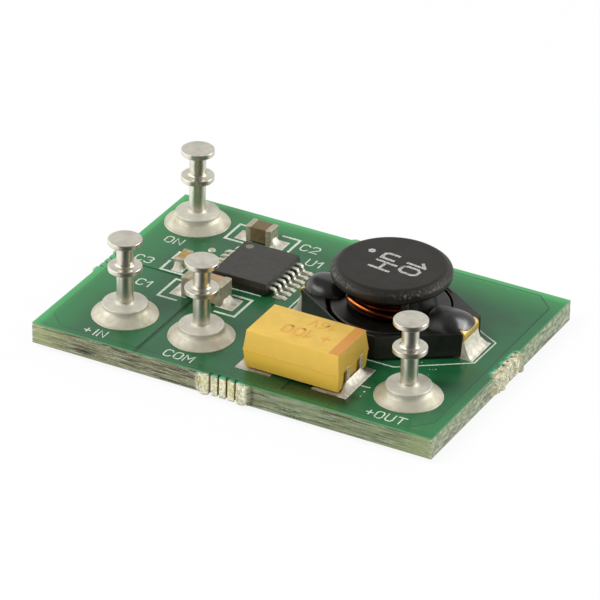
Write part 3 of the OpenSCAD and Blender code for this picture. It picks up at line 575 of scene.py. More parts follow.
def make_laminate_finish():
    """Cut glass-epoxy laminate: pale resin with grey-green glass layers that run along the edge, blotched
    at the ends of the board, painted greener to the right as a glow of light through the green mask, and
    cream and torn at the broken tabs."""
    material, shader, place = finish("laminate", IOR=1.5)
    x, y, _ = place.split()
    layers = place.stretched(0.3, 0.3, 7.0).noise(1.0, 4.0, 0.6)
    fibres = place.stretched(0.55, 0.55, 13.0).noise(1.0, 4.0, 0.65)
    flecks = place.stretched(5.0, 5.0, 9.0).noise(1.0, 2.0, 0.6)
    pale = place.stretched(0.6, 0.6, 9.0).noise(1.0, 3.0, 0.6)
    brown = place.stretched(0.35, 0.35, 5.0).noise(1.0, 2.0)
    blotch = place.stretched(1.0, 1.6, 2.6).noise(0.8, 4.0, 0.65)
    tone = layers * 0.55 + fibres * 0.45
    from_end = -LEFT - abs(x)
    from_edge = least(from_end, -FRONT - abs(y))
    colour = tone.rise(0.41, 0.58).mix(rgb(0.030, 0.029, 0.011), rgb(0.285, 0.295, 0.170))
    colour = flecks.rise(0.55, 0.70, 0.5).mix(colour, rgb(0.50, 0.50, 0.38))
    colour = pale.rise(0.56, 0.66, 0.6).mix(colour, rgb(0.50, 0.52, 0.45))
    colour = (from_end + layers * 3.0).fall(1.5, 5.0, 0.45).mix(colour, rgb(0.48, 0.54, 0.23))
    blotched = blotch.rise(0.39, 0.61).mix(rgb(0.235, 0.245, 0.165), rgb(0.70, 0.72, 0.58))
    colour = from_end.fall(0.0, 0.25, 0.8).mix(colour, blotched)
    # Painted green glow towards the right, for light that comes through the green mask
    green = x.rise(-1.0, 5.0, 0.42) * layers.ramp(0.35, 0.6, 0.3, 1.0)
    colour = green.mix(colour, rgb(0.19, 0.31, 0.145))
    colour = brown.rise(0.55, 0.68, 0.5).mix(colour, rgb(0.075, 0.055, 0.028))
    cream = place.noise(0.28).rise(0.36, 0.58).mix(rgb(0.60, 0.56, 0.33), rgb(0.88, 0.87, 0.69))
    cream = flecks.rise(0.48, 0.62, 0.75).mix(cream, rgb(0.40, 0.41, 0.32))
    cream = place.noise(0.9, 1.0).rise(0.48, 0.62, 0.5).mix(cream, rgb(0.72, 0.67, 0.31))
    cream = from_edge.rise(0.03, 0.14).mix(cream, rgb(0.24, 0.145, 0.05))
    colour = use(BREAKS, place, Reach=BREAK_REACH)[0].mix(colour, cream)
    feed(shader, Base_Color=colour, Roughness=tone.ramp(0.3, 0.7, 0.55, 0.75))
    relief(shader, tone + flecks * 0.5, 0.05)
    return material


# Finishes of the metals

def make_metal(name, pale, dull, rough, patch, grain, depth, tint=None, metallic=1.0, near_capacitor=False):
    """Satin metal: mottled between two tones, with a finely grained surface, stained here and there with
    a tint.  On the pads and foil under the output capacitor it can carry a brown painted reflection and
    shade of that part under its front, where it is not metallic, and at its back a darker painted
    reflection of the inductor's black base."""
    material, shader, place = finish(name, Metallic=metallic)
    tone, height = use(MOTTLE, place, Patch=patch, Grain=grain)
    colour = tone.mix(dull, pale)
    if tint:
        colour = place.noise(patch * 2.5, 2.0).rise(0.56, 0.74, 0.6).mix(colour, tint)
    if near_capacitor:
        x, y, _ = place.split()
        # Painted brown reflection and shade of the output capacitor on the metal under its front
        capacitor_reflection = y.fall(CAP_LOW[1] - 0.1, CAP_LOW[1] + 0.5) * place.noise(0.45, 2.0).ramp(0.36, 0.60, 0.85, 1.0)
        capacitor_reflection = capacitor_reflection * x.ramp(CAP_LOW[0] + 0.15, CAP_LOW[0] + 0.6, 0.2, 1.0)
        capacitor_reflection = capacitor_reflection * x.ramp(CAP_HIGH[0] - 0.2, CAP_HIGH[0] + 0.2, 1.0, 0.2)
        colour = capacitor_reflection.mix(colour, rgb(0.115, 0.055, 0.010))
        # Painted darker at the back: a reflection of the inductor's black base
        colour = y.rise(CAP_HIGH[1] - 0.8, CAP_HIGH[1] - 0.3, 0.65).mix(colour, rgb(0.19, 0.165, 0.13))
        feed(shader, Metallic=capacitor_reflection.span(metallic, 0.0))
    feed(shader, Base_Color=colour, Roughness=tone.span(rough[1], rough[0]))
    relief(shader, height, depth)
    return material


def make_turned_metal():
    """Tinned brass from a lathe: fine rings round the axis under a mottled satin plating, duller with
    solder low on the shoulder."""
    material, shader, place = finish(
        "turned_terminal_metal", Metallic=1.0, Anisotropic=0.5, Anisotropic_Rotation=0.25)
    tone, height = use(MOTTLE, place, Patch=0.45, Grain=0.05)
    rings = place.stretched(0.6, 0.6, 22.0).noise(1.0, 2.0)
    shoulder = place.split()[2].fall(PAD_TOP + 1.0, PAD_TOP + 1.25)
    colour = tone.mix(rgb(0.68, 0.65, 0.55), rgb(0.77, 0.74, 0.635))
    rough = shoulder * 0.26 + tone.span(0.36, 0.28)
    feed(shader, Base_Color=colour, Roughness=rough, Metallic=shoulder.span(1.0, 0.6))
    relief(shader, height * 0.5 + rings * 0.5, 0.0002)
    return material


def make_wire_finish():
    """Enamelled copper whose dark varnish is painted almost black for the shade under the disc; one turn
    carries a painted red highlight at the front right."""
    material, shader, place = finish("varnished_copper", Metallic=1.0)
    tone, _ = use(MOTTLE, place, Patch=0.8, Grain=0.08)
    x, _, z = place.split()
    # Painted red highlight on one turn at the front right
    turn = z.rise(4.90, 5.02) * z.fall(5.16, 5.28) * x.rise(COIL[0] - 0.5, COIL[0] + 0.1)
    # Varnish painted near black for the shade under the disc
    varnish_and_shade = tone.mix(rgb(0.013, 0.004, 0.003), rgb(0.028, 0.008, 0.004))
    colour = (turn * 0.3).mix(varnish_and_shade, rgb(0.50, 0.09, 0.025))
    feed(shader, Base_Color=colour, Roughness=tone.span(0.36, 0.28))
    return material


def make_bare_copper():
    """Bare copper wire, bright orange where it comes out of the winding at the front, painted darker red
    towards the right where it mirrors less light, and painted dark towards the back for the shade under
    the disc."""
    material, shader, place = finish("bare_copper", Metallic=1.0)
    tone, _ = use(MOTTLE, place, Patch=0.5, Grain=0.06)
    x, y, _ = place.split()
    colour = tone.mix(rgb(0.84, 0.22, 0.045), rgb(0.98, 0.34, 0.085))
    # Painted darker red towards the right, where the wire mirrors less light
    colour = x.rise(COIL[0] - 1.1, COIL[0] + 0.7).mix(colour, rgb(0.22, 0.040, 0.012))
    # Painted dark towards the back, for the shade under the disc
    colour = y.rise(COIL[1] - 2.95, COIL[1] - 2.7).mix(colour, rgb(0.016, 0.005, 0.003))
    feed(shader, Base_Color=colour, Roughness=tone.span(0.34, 0.24))
    return material


# Finishes of the moulded, fired and coated parts

def make_plastic(name, dark, light, rough, patch, grain, depth, **constants):
    """Moulded plastic, resin or ceramic: a mottled tone with a grained skin."""
    material, shader, place = finish(name, **constants)
    tone, height = use(MOTTLE, place, Patch=patch, Grain=grain)
    feed(shader, Base_Color=tone.mix(dark, light), Roughness=tone.span(*rough))
    relief(shader, height, depth)
    return material


def make_epoxy_finish():
    """Glossy black epoxy, smeared dull between the right-hand drop's crown and the winding."""
    material, shader, place = finish("black_epoxy", Specular_IOR_Level=0.78)
    tone, height = use(MOTTLE, place, Patch=1.2, Grain=0.5)
    x = place.split()[0] - COIL[0]
    smear = x.rise(3.4, 3.8) * x.fall(4.4, 5.1)
    colour = tone.mix(rgb(0.004, 0.004, 0.003), rgb(0.006, 0.0055, 0.0045))
    feed(shader, Base_Color=colour, Roughness=smear * 0.28 + tone.span(0.20, 0.27))
    relief(shader, height, 0.004)
    return material


def make_chip_finish():
    """Charcoal moulding compound with a fine grain; the moulded pin-one dimple is olive grey."""
    material, shader, place = finish(
        "chip_moulding", IOR=1.5, Specular_IOR_Level=1.0, Specular_Tint=WARM_TINT)
    tone, height = use(MOTTLE, place, Patch=0.5, Grain=0.035)
    low, high = low_high("regulator_body")
    from_corner = 0.71
    pin_one = (low[0] + from_corner, high[1] - from_corner, high[2])
    dimple = place.measure("DISTANCE", pin_one).fall(0.26, 0.32)
    colour = tone.mix(rgb(0.005, 0.0044, 0.004), rgb(0.008, 0.0072, 0.0066))
    colour = dimple.mix(colour, rgb(0.16, 0.15, 0.105))
    feed(shader, Base_Color=colour, Roughness=tone.span(0.42, 0.5))
    relief(shader, height, 0.005)
    return material


def make_ferrite_finish():
    """Black coated ferrite whose top rim is rubbed and chipped to a paler grey at the front left and
    right; there the paler grey is partly a painted highlight."""
    material, shader, place = finish(
        "coated_ferrite", IOR=1.5, Specular_IOR_Level=0.48, Specular_Tint=WARM_TINT)
    tone, grain = use(MOTTLE, place, Patch=1.1, Grain=0.09)
    flat = place.turn_to("SUBTRACT", COIL_AT).stretched(1, 1, 0)
    radius, aim = flat.measure("LENGTH"), flat.turn_to("NORMALIZE")
    height = place.split()[2]
    left = aim.measure("DOT_PRODUCT", (-0.71, -0.71, 0))
    right = aim.measure("DOT_PRODUCT", (0.91, -0.42, 0))
    rim = radius.rise(3.75, 4.05) * height.rise(DISC_TOP - 0.62, DISC_TOP - 0.3)
    # Paler rim at the front left and right: rubbed wear, partly a painted highlight
    rubbed_and_lit = most(left, right).ramp(0.78, 0.95, 0.2, 1.0)
    worn = rim * rubbed_and_lit * place.noise(0.22, 4.0, 0.7).rise(0.50, 0.68)
    colour = tone.mix(rgb(0.0042, 0.0036, 0.0028), rgb(0.0075, 0.0066, 0.005))
    colour = (worn * 0.6).mix(colour, rgb(0.22, 0.21, 0.18))
    matt = height.ramp(BASE_TOP + 0.2, BASE_TOP + 0.6, 0.2, 0.44) + tone.span(0.0, 0.08)
    side = radius.rise(3.8, 4.1) * height.fall(DISC_TOP - 0.5, DISC_TOP - 0.2, 0.04)
    feed(shader, Base_Color=colour, Roughness=matt - side)
    relief(shader, grain - worn * 0.6, 0.02)
    return material


def make_resin_finish():
    """Mustard moulding resin with an orange bar across one end of the top.  Its sides are painted deeper
    in colour than its top, and its lower draft face, below the parting line, lighter than its upper one,
    as painted light and shade for how light falls on these faces."""
    material, shader, place = finish("mustard_resin", IOR=1.5)
    tone, height = use(MOTTLE, place, Patch=0.9, Grain=0.05)
    x, _, z = place.split()
    end, top = CAP_HIGH[0], CAP_HIGH[2]
    ragged = x + place.noise(0.25) * 0.05
    bar = ragged.rise(end - 0.92, end - 0.86) * z.rise(top - 0.05, top - 0.02)
    colour = tone.mix(rgb(0.66, 0.425, 0.072), rgb(0.74, 0.485, 0.095))
    # Painted shading: the sides deeper in colour than the top
    colour = z.fall(top - 0.12, top - 0.04, 0.6).mix(colour, rgb(0.69, 0.435, 0.046))
    # Painted light: the lower draft face, below the parting line, lighter than the upper
    colour = z.fall(PARTING - 0.1, PARTING + 0.1, 0.75).mix(colour, rgb(0.77, 0.49, 0.052))
    colour = (bar * 0.85).mix(colour, rgb(0.60, 0.24, 0.055))
    feed(shader, Base_Color=colour, Roughness=tone.span(0.42, 0.55))
    relief(shader, height, 0.008)
    return material


def make_ink(name, colour, thin, share):
    """Printed ink that lets the ground show through where it is thin."""
    material, shader, place = finish(name, IOR=1.4)
    worn = place.noise(0.13).rise(0.42, 0.66, share)
    feed(shader, Base_Color=worn.mix(colour, thin), Roughness=worn.span(0.5, 0.65))
    return material


TOP_MASK, BOTTOM_MASK = make_mask_finish("green_mask_top", True), make_mask_finish("green_mask_bottom", False)
LAMINATE = make_laminate_finish()
TERMINAL_METAL = make_turned_metal()
SOLDER = make_metal(
    "tin_solder", pale=rgb(0.78, 0.745, 0.615), dull=rgb(0.67, 0.63, 0.49), rough=(0.50, 0.62),
    patch=0.7, grain=0.08, depth=0.001, tint=rgb(0.50, 0.45, 0.28), metallic=0.82)
PAD_SOLDER = make_metal(
    "tinned_pads", pale=rgb(0.86, 0.83, 0.73), dull=rgb(0.68, 0.64, 0.53), rough=(0.50, 0.66),
    patch=0.4, grain=0.07, depth=0.006, tint=rgb(0.42, 0.33, 0.21), metallic=0.75)
TAB_SOLDER = make_metal(
    "tab_solder", pale=rgb(0.84, 0.81, 0.71), dull=rgb(0.64, 0.60, 0.49), rough=(0.46, 0.62),
    patch=0.4, grain=0.07, depth=0.006, metallic=0.75, near_capacitor=True)
LEAD_METAL = make_metal(
    "tinned_leads", pale=rgb(0.88, 0.85, 0.74), dull=rgb(0.72, 0.69, 0.58), rough=(0.42, 0.52),
    patch=0.25, grain=0.04, depth=0.0006, metallic=0.85)
COPPER = make_metal(
    "copper_foil", pale=rgb(0.80, 0.47, 0.30), dull=rgb(0.62, 0.33, 0.18), rough=(0.3, 0.45),
    patch=0.6, grain=0.05, depth=0.004)
TINNED_FOIL = make_metal(
    "tinned_foil", pale=rgb(0.82, 0.78, 0.67), dull=rgb(0.66, 0.61, 0.49), rough=(0.46, 0.6),
    patch=0.4, grain=0.07, depth=0.004, metallic=0.8, near_capacitor=True)
CLIP_METAL = make_metal(
    "gold_clip", pale=rgb(0.90, 0.63, 0.20), dull=rgb(0.78, 0.52, 0.15), rough=(0.30, 0.40),
    patch=0.5, grain=0.05, depth=0.0008, metallic=0.55)
TAB_METAL = make_metal(
    "tinned_tab", pale=rgb(0.84, 0.82, 0.75), dull=rgb(0.60, 0.58, 0.52), rough=(0.34, 0.48),
    patch=0.3, grain=0.05, depth=0.003, metallic=0.8)
END_METAL = make_plastic(
    "fired_ends", dark=rgb(0.36, 0.325, 0.23), light=rgb(0.52, 0.48, 0.36), rough=(0.42, 0.55),
    patch=0.25, grain=0.04, depth=0.008, Metallic=0.45)
BASE = make_plastic(
    "black_moulding", dark=rgb(0.008, 0.0075, 0.006), light=rgb(0.014, 0.013, 0.011), rough=(0.3, 0.4),
    patch=0.7, grain=0.06, depth=0.002)
CERAMIC_FINISHES = {
    "input": make_plastic(
        "tan_ceramic", dark=rgb(0.33, 0.22, 0.12), light=rgb(0.42, 0.29, 0.165), rough=(0.4, 0.55),
        patch=0.5, grain=0.04, depth=0.004),
    "bypass": make_plastic(
        "brown_ceramic", dark=rgb(0.125, 0.082, 0.034), light=rgb(0.175, 0.120, 0.056), rough=(0.35, 0.5),
        patch=0.4, grain=0.04, depth=0.004),
    "start": make_plastic(
        "ochre_ceramic", dark=rgb(0.32, 0.195, 0.045), light=rgb(0.42, 0.265, 0.07), rough=(0.35, 0.5),
        patch=0.4, grain=0.04, depth=0.004),
}
CHIP = make_chip_finish()
FERRITE = make_ferrite_finish()
WIRE = make_wire_finish()
RESIN = make_resin_finish()
EPOXY = make_epoxy_finish()
BARE_COPPER = make_bare_copper()
SILKSCREEN = make_ink("white_silkscreen", rgb(0.66, 0.70, 0.60), rgb(0.27, 0.43, 0.29), 0.6)
DISC_INK = make_ink("grey_disc_ink", rgb(0.50, 0.50, 0.46), rgb(0.12, 0.12, 0.11), 0.8)
RESIN_INK = make_ink("faint_orange_ink", rgb(0.66, 0.32, 0.065), rgb(0.72, 0.45, 0.085), 0.7)


def dress(node, material):
    """Gives a CAD node that keeps its shape its finish."""
    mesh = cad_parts[node].data
    mesh.materials.clear()
    mesh.materials.append(material)


dress("top_solder_mask", TOP_MASK)
dress("bottom_solder_mask", BOTTOM_MASK)
dress("board_laminate", LAMINATE)
dress("top_copper", TINNED_FOIL)
for layer in ("bottom_copper", "hole_plating"):
    dress(layer, COPPER)
for name in TERMINALS:
    dress(name + "_swage_solder", SOLDER)
dress("regulator_lead_solder", PAD_SOLDER)


# Terminals and via

HEAD_R, NECK_R, SHOULDER_R, SHANK_R = 1.195, 0.595, 1.585, 0.7
SWAGE_R, SWAGE_TOP, HOLLOW_R, HOLLOW_TOP = 1.05, 0.45, 0.4, 1.1
SHOULDER_TOP, COLLAR_LOW, COLLAR_TOP = PAD_TOP + 0.98, PAD_TOP + 3.48, PAD_TOP + 3.89
HEAD_LOW, HEAD_TOP = PAD_TOP + 5.56, PAD_TOP + 5.94
SKIRT_R, SKIRT_TOP = 2.36, 0.74
VIA_R, VIA_H = 0.3, 0.16


def terminal_profile():
    """Turned turret as (radius, z): hollow swaged end, shank, shoulder, two necks with a collar, and
    head."""
    edge, cove = 0.08, 0.24
    return rounded([
        (0, HOLLOW_TOP), (HOLLOW_R, HOLLOW_TOP, 0.05), (HOLLOW_R + 0.02, 0, 0.05), (SWAGE_R, 0, 0.1),
        (SWAGE_R, SWAGE_TOP, edge), (SHANK_R, SWAGE_TOP), (SHANK_R, PAD_TOP), (SHOULDER_R, PAD_TOP),
        (SHOULDER_R, SHOULDER_TOP, 0.07), (NECK_R, SHOULDER_TOP, cove), (NECK_R, COLLAR_LOW),
        (HEAD_R, COLLAR_LOW, edge), (HEAD_R, COLLAR_TOP, edge), (NECK_R, COLLAR_TOP, cove),
        (NECK_R, HEAD_LOW), (HEAD_R, HEAD_LOW, edge), (HEAD_R, HEAD_TOP, 0.07), (0, HEAD_TOP)], steps=6)


def skirt(centre, seed):
    """Solder skirt as a turned form: it falls in a hollow curve from the shoulder and ends in a round
    bead.  Its outer radius wavers by a few hundredths of a millimetre with the sum of three sines."""
    profile = rounded([
        (1.5, 0.0), (SHOULDER_R, SKIRT_TOP), (1.68, 0.56, 0.5), (2.22, 0.16, 0.4), (SKIRT_R, 0.10, 0.07),
        (SKIRT_R, 0.0)], steps=7, hold=0)
    t = around(96)[None]
    phases = np.random.default_rng(seed).uniform(0, 2 * np.pi, 3)
    waves = zip((0.018, 0.014, 0.008), (2, 3, 7), phases)
    waver = sum(size * np.sin(count * t + phase) for size, count, phase in waves)
    r, z = profile[:, :1], profile[:, 1:]
    share = np.clip((r - SHOULDER_R) / (SKIRT_R - SHOULDER_R), 0, 1)
    r = r + waver * share
    z = z * (1 + 2.2 * waver * (1 - share))
    rings = np.stack([centre[0] + r * np.cos(t), centre[1] + r * np.sin(t), PAD_TOP + z], -1)
    return loft(rings, caps=False)


def via_bead():
    """Low dome of solder: z = height * sqrt(1 - rho^2) at the share rho of its radius."""
    rho = np.linspace(1, 0, 9)
    profile = np.column_stack([VIA_R * rho, PAD_TOP + VIA_H * np.sqrt(1 - rho ** 2)])
    return turned(profile, middle("via_solder")[:2], 32)


for seed, name in enumerate(TERMINALS):
    centre = middle(name + "_terminal")[:2]
    piece("turned_" + name + "_terminal", turned(terminal_profile(), centre), TERMINAL_METAL,
          [name + "_terminal"], crease=40)
    piece("skirt_" + name, skirt(centre, seed), SOLDER, [name + "_terminal_solder"], crease=60)
piece("via_bead", via_bead(), SOLDER, ["via_solder"])


# Regulator chip

LEADS_A_SIDE, LEAD_PITCH, LEAD_W, LEAD_T = 7, 0.65, 0.28, 0.13


def chip_body():
    """Moulded block that leans in above and below its parting line, with its edges just broken."""
    low, high = low_high("regulator_body")
    l, w, h = high - low
    lean, deep = 0.09, 1.9
    profile = rounded([(deep, 0), (lean, 0, 0.03), (0, h / 2, 0.02), (lean, h, 0.035), (deep, h)], steps=4)
    return moulded(profile, lambda inset: rectangle(l, w, 0.06, inset), underside("regulator_body"))


def chip_leads():
    """Gull-wing leads: a strip swept along root, shoulder, riser and foot, repeated along both sides."""
    mid = middle("regulator_leads")
    toe = low_high("regulator_leads")[1][0] - mid[0]
    root_z, foot_z, bend = 0.55, LEAD_T / 2, 0.20
    path = rounded([
        (2.0, root_z), (2.60, root_z, bend), (2.70, foot_z, bend), (toe, foot_z)], steps=7, hold=0.01)
    one = strip(evenly(path, 26), LEAD_W, LEAD_T, 0.025)
    rows = (np.arange(LEADS_A_SIDE) - (LEADS_A_SIDE - 1) / 2) * LEAD_PITCH
    return joined([placed(one, (mid[0], mid[1] + y, SEAT), turn) for turn in (0, 180) for y in rows])


piece("chip_body", chip_body(), CHIP, ["regulator_body"], crease=25)
piece("chip_leads", chip_leads(), LEAD_METAL, ["regulator_leads"], crease=50)


# Solder pools on the pads

def pool(inside, outside, width, wall_w, climb, run, cells=(44, 36), lean=0.0, soft=0.16, tuck=0.06):
    """Solder on one pad, as a height field over x (outwards from the part's end) and y: a film whose rim
    curves down to the pad, plus a hollow slope climb * (1 - x / run)^2 against the part's end; with a
    lean it stays low beyond y = 0.75 on that side.  It reaches back by `tuck` beside the part."""
    film, bead_w = 0.06, 0.14
    back_rows, seam = 9, 0.001
    low_from, low_over, low_share = 0.75, 0.3, 0.75
    back = np.linspace(-inside, -tuck - seam, back_rows)
    x = np.concatenate([back, np.linspace(-tuck + seam, outside, cells[0] - back_rows)])[:, None]
    y = np.linspace(-width / 2, width / 2, cells[1])[None]
    rim = np.minimum(np.minimum(x + inside, outside - x), np.minimum(y + width / 2, width / 2 - y))
    bead = np.sqrt(np.clip(1 - (1 - np.clip(rim / bead_w, 0, 1)) ** 2, 0, 1))
    fall = np.clip(1 - np.clip(x, 0, None) / run, 0, 1) ** 2 * (x > -tuck)
    beside = eased((wall_w / 2 - np.abs(y)) / soft)
    beside = beside * (1 - low_share * np.clip((lean * y - low_from) / low_over, 0, 1))
    height = bead * (film + climb * fall * beside)
    return sheet(np.stack([x + 0 * y, y + 0 * x, height], -1))


def pools(node, turn, half, lean=0.0, **shape):
    """The pools at both ends of a part, `half` from the middle of that CAD node."""
    out = np.append(heading(turn) * half, 0)
    at = np.append(middle(node)[:2], PAD_TOP)
    near = placed(pool(lean=lean, **shape), at + out, turn)
    return [near, placed(pool(lean=-lean, **shape), at - out, turn + 180)]


CERAMIC_POOLS = {
    "input": pools("input_capacitor_body", 0, 1.6, inside=0.5, outside=0.92, width=1.7, wall_w=1.74,
                   climb=0.38, run=0.5, soft=0.45),
    "bypass": pools("bypass_capacitor_body", 0, 1.0, inside=0.5, outside=0.92, width=1.35, wall_w=1.42,
                    climb=0.44, run=0.55, soft=0.55),
    "start": pools("start_capacitor_body", 90, 0.8, inside=0.5, outside=0.36, width=0.9, wall_w=0.92,
                   climb=0.6, run=0.36, soft=0.3),
}
TAB_POOLS = pools("output_capacitor_body", 0, 3.65, inside=2.1, outside=0.6, width=4.45, wall_w=3.7,
                  climb=0.55, run=0.66, cells=(80, 90), soft=0.95)
CLIP_POOLS = pools("inductor_core", 0, 6.3, inside=1.9, outside=0.7, width=2.96, wall_w=3.04,
                   climb=1.3, run=0.68, cells=(80, 60), lean=1.0, tuck=0.2)
for name in CERAMICS:
    piece(name + "_pools", joined(CERAMIC_POOLS[name]), PAD_SOLDER, [name + "_capacitor_solder"])
for end, shape in zip(("anode", "cathode"), TAB_POOLS):
    piece(end + "_pool", shape, TAB_SOLDER, ["output_capacitor_" + end + "_solder"])
for end, shape in zip(("output", "switch"), CLIP_POOLS):
    piece(end + "_clip_pool", shape, PAD_SOLDER, ["inductor_" + end + "_solder"])


# Ceramic capacitors

BANDS = {"input": 0.56, "bypass": 0.42, "start": 0.34}  # lengths of the metal ends


def ceramic_chip(name):
    """Ceramic block and its two metal ends, each a rounded block; the ends cover the block's outer
    stretch."""
    node = name + "_capacitor_ends"
    low, high = low_high(node)
    l, w, h = high - low
    turn = 90 if w > l else 0
    l, w = max(l, w), min(l, w)
    band, lap, skin = BANDS[name], 0.05, 0.04
    at = underside(node)
    body = block(l - 2 * (band - lap), w - 2 * skin, h - 2 * skin, 0.07, 0.05)
    out = np.append(heading(turn) * (l - band) / 2, 0)
    ends = [placed(block(band, w, h, 0.10, 0.10), at + side * out, turn) for side in (1, -1)]
    piece(name + "_ceramic_block", placed(body, at + [0, 0, skin], turn), CERAMIC_FINISHES[name],
          [name + "_capacitor_body"])
    piece(name + "_metal_ends", joined(ends), END_METAL, [node], crease=50)


for name in CERAMICS:
    ceramic_chip(name)


# Output capacitor

def resin_flash():
    """Thin flash round the parting line, with a gate mark at the left end."""
    l, w, _ = CAP_HIGH - CAP_LOW
    proud, tip, root, deep = 0.03, 0.018, 0.03, 0.3
    profile = [(deep, -root), (-proud, -tip), (-proud, tip), (deep, root)]
    ridge = moulded(profile, lambda inset: rectangle(l, w, 0.06, inset), (CAP_MID[0], CAP_MID[1], PARTING))
    gate = block(0.2, 0.6, 0.22, 0.05, 0.05, (CAP_LOW[0], CAP_MID[1] - 1.2, PARTING - 0.13))
    return joined([ridge, gate])


def forked_tab(turn):
    """Forked tab as rounded blocks: foot under the body, bridge, and two prongs that stand to one side of
    their slots."""
    end = low_high("output_capacitor_anode_tab")[1]
    half, tall = end[0] - CAP_MID[0], end[2] - SEAT
    thick, foot_l, foot_w, bridge_h, prong_w = 0.14, 1.3, 2.5, 0.45, 0.36
    shift = 0.15 if turn == 0 else -0.15
    face = half - thick / 2
    foot = block(foot_l, foot_w, thick, 0.02, 0.02, (half - foot_l / 2, 0, 0))
    bridge = block(thick, foot_w, bridge_h, 0.02, 0.02, (face, 0, 0))
    prongs = [block(thick, prong_w, tall, 0.03, 0.03, (face, y + shift, 0)) for y in (-0.92, 0.98)]
    return placed(joined([foot, bridge] + prongs), (CAP_MID[0], CAP_MID[1], SEAT), turn)


softened("resin_body", "output_capacitor_body", 0.055, RESIN)
piece("resin_flash", resin_flash(), RESIN, crease=25)
piece("anode_tab", forked_tab(0), TAB_METAL, ["output_capacitor_anode_tab"])
piece("cathode_tab", forked_tab(180), TAB_METAL, ["output_capacitor_cathode_tab"])


# Inductor

WIRE_R = 0.222
FLANGE_R, HUB_R, DISC_R = 4.2, 1.9, 4.19


def coil_base():
    """Long octagon with broken edges round a round seat, as rings at equal angles: the octagon, inset
    along the outer profile, and then circles along the profile of the seat.  The seat is a little off the
    middle, so its groove is wider on the left."""
    t = around(240)
    way = np.stack([np.cos(t), np.sin(t)], 1)
    x, y = 6.15, 4.7  # half length and half width
    e, f = 1.45, 1.3  # half lengths of the end and of the long side
    slant = np.array([y - e, x - f])
    slant /= np.linalg.norm(slant)
    sides = ((x, (1, 0)), (y, (0, 1)), (np.array([x, e]) @ slant, slant))

    def octagon(inset):
        """Distance to the octagon's edge in each direction: the least of its sides' distances."""
        far = [(reach - inset) / np.maximum(np.abs(way) @ normal, 1e-6) for reach, normal in sides]
        return way * np.min(far, 0)[:, None]

    low = low_high("inductor_base")[0][2]
    well_r, lip, shift = 4.33, 0.14, [0.09, 0.0]
    outer = rounded([(2.0, low), (0, low, 0.05), (0, BASE_TOP, 0.07), (0.3, BASE_TOP)], steps=4)
    inner = rounded([
        (y, BASE_TOP), (well_r, BASE_TOP, lip), (well_r, WELL_FLOOR), (0.5, WELL_FLOOR)], steps=4)
    rings = [at_level(octagon(inset), z) for inset, z in outer]
    rings += [at_level(way * r - shift, z) for r, z in inner[1:]]
    return placed(loft(np.stack(rings)), COIL_AT)


def spool():
    """Ferrite spool: lower flange, hub, and a top disc whose face rolls off towards a rounded rim."""
    flange_top = BASE_TOP - 0.03
    profile = rounded([
        (0, WELL_FLOOR), (FLANGE_R, WELL_FLOOR, 0.1), (FLANGE_R, flange_top, 0.24), (HUB_R, flange_top),
        (HUB_R, DISC_LOW), (3.7, DISC_LOW, 0.6), (DISC_R, DISC_LOW + 0.35, 0.3),
        (DISC_R, DISC_TOP - 0.36, 0.34), (3.72, DISC_TOP, 0.5), (0, DISC_TOP)], steps=9, hold=0.03)
    return turned(profile, COIL, 160)


def winding():
    """Two layers of wire round the hub, as helices that fall by one pitch a turn: z = z0 - pitch * t / 2
    pi, with a slight waver, and a straight end to each side inside the epoxy."""
    pitch, top, end_z = 0.46, DISC_LOW - 0.24, BASE_TOP + 0.27
    outer_layer, inner_layer = (2.82, 0.0, 4.0), (2.45, 0.5, 3.5)
    shapes = []
    for radius, start, turns in (outer_layer, inner_layer):
        t = np.linspace(0, 2 * np.pi * turns, int(90 * turns))
        out = radius + 0.03 * np.sin(1.7 * t) + 0.012 * np.sin(5.3 * t + 1)
        z = top - pitch * (t / (2 * np.pi) * (turns - 1) / turns + start)
        shapes.append(tube(np.stack([out * np.cos(t), out * np.sin(t), z], 1), WIRE_R))
    x = np.linspace(2.6, 5.2, 12)
    for side in (1, -1):
        shapes.append(tube(np.stack([side * x, 0 * x, np.full(len(x), end_z)], 1), WIRE_R))
    return placed(joined(shapes), COIL_AT)


def lead_out():
    """Bare wire that leaves the winding: its radius grows from 2.7 to 3.23 as it comes out, and it falls
    by 0.0088 mm a degree round the front and into the epoxy on the right."""
    first, last, comes_out, falls_from, bend = 212, 336, 22, 248, 6
    inner_r, outer_r, wire_r, top, slope = 2.7, 3.23, 0.165, 5.04, 0.0088
    turn = np.linspace(first, last, 90)
    radius = inner_r + (outer_r - inner_r) * eased((turn - first) / comes_out)
    z = top - slope * bend * np.log1p(np.exp((turn - falls_from) / bend))
    t = np.radians(turn)
    return placed(tube(np.stack([radius * np.cos(t), radius * np.sin(t), z], 1), wire_r, 14), COIL_AT)


def clip(turn):
    """Gold strip folded round the end of the base: foot, end face and lip.  On the left the drop hides
    the lip but for its front corner."""
    width, thick, edge, off = 2.2, 0.15, 0.04, 0.25
    face_x, foot_in, lip_in = 6.225, 4.4, 5.4
    foot_z, lip_z, face_top = SEAT + thick / 2, BASE_TOP + 0.06, BASE_TOP - 0.06
    corner_w, corner_y, corner_low = 0.3, 1.2, 3.5
    foot = [(foot_in, foot_z), (face_x, foot_z, 0.12)]
    lip = [(face_x, lip_z, 0.3), (lip_in, lip_z)]
    if not turn:
        shape = placed(strip(rounded(foot + lip, steps=9), width, thick, edge), (0, -off, 0))
    else:
        face = strip(rounded(foot + [(face_x, face_top)], steps=7), width, thick, edge)
        corner = strip(rounded([(face_x, corner_low)] + lip, steps=9), corner_w, thick, edge)
        shape = joined([placed(face, (0, off, 0)), placed(corner, (0, corner_y, 0))])
    return placed(shape, COIL_AT, turn)


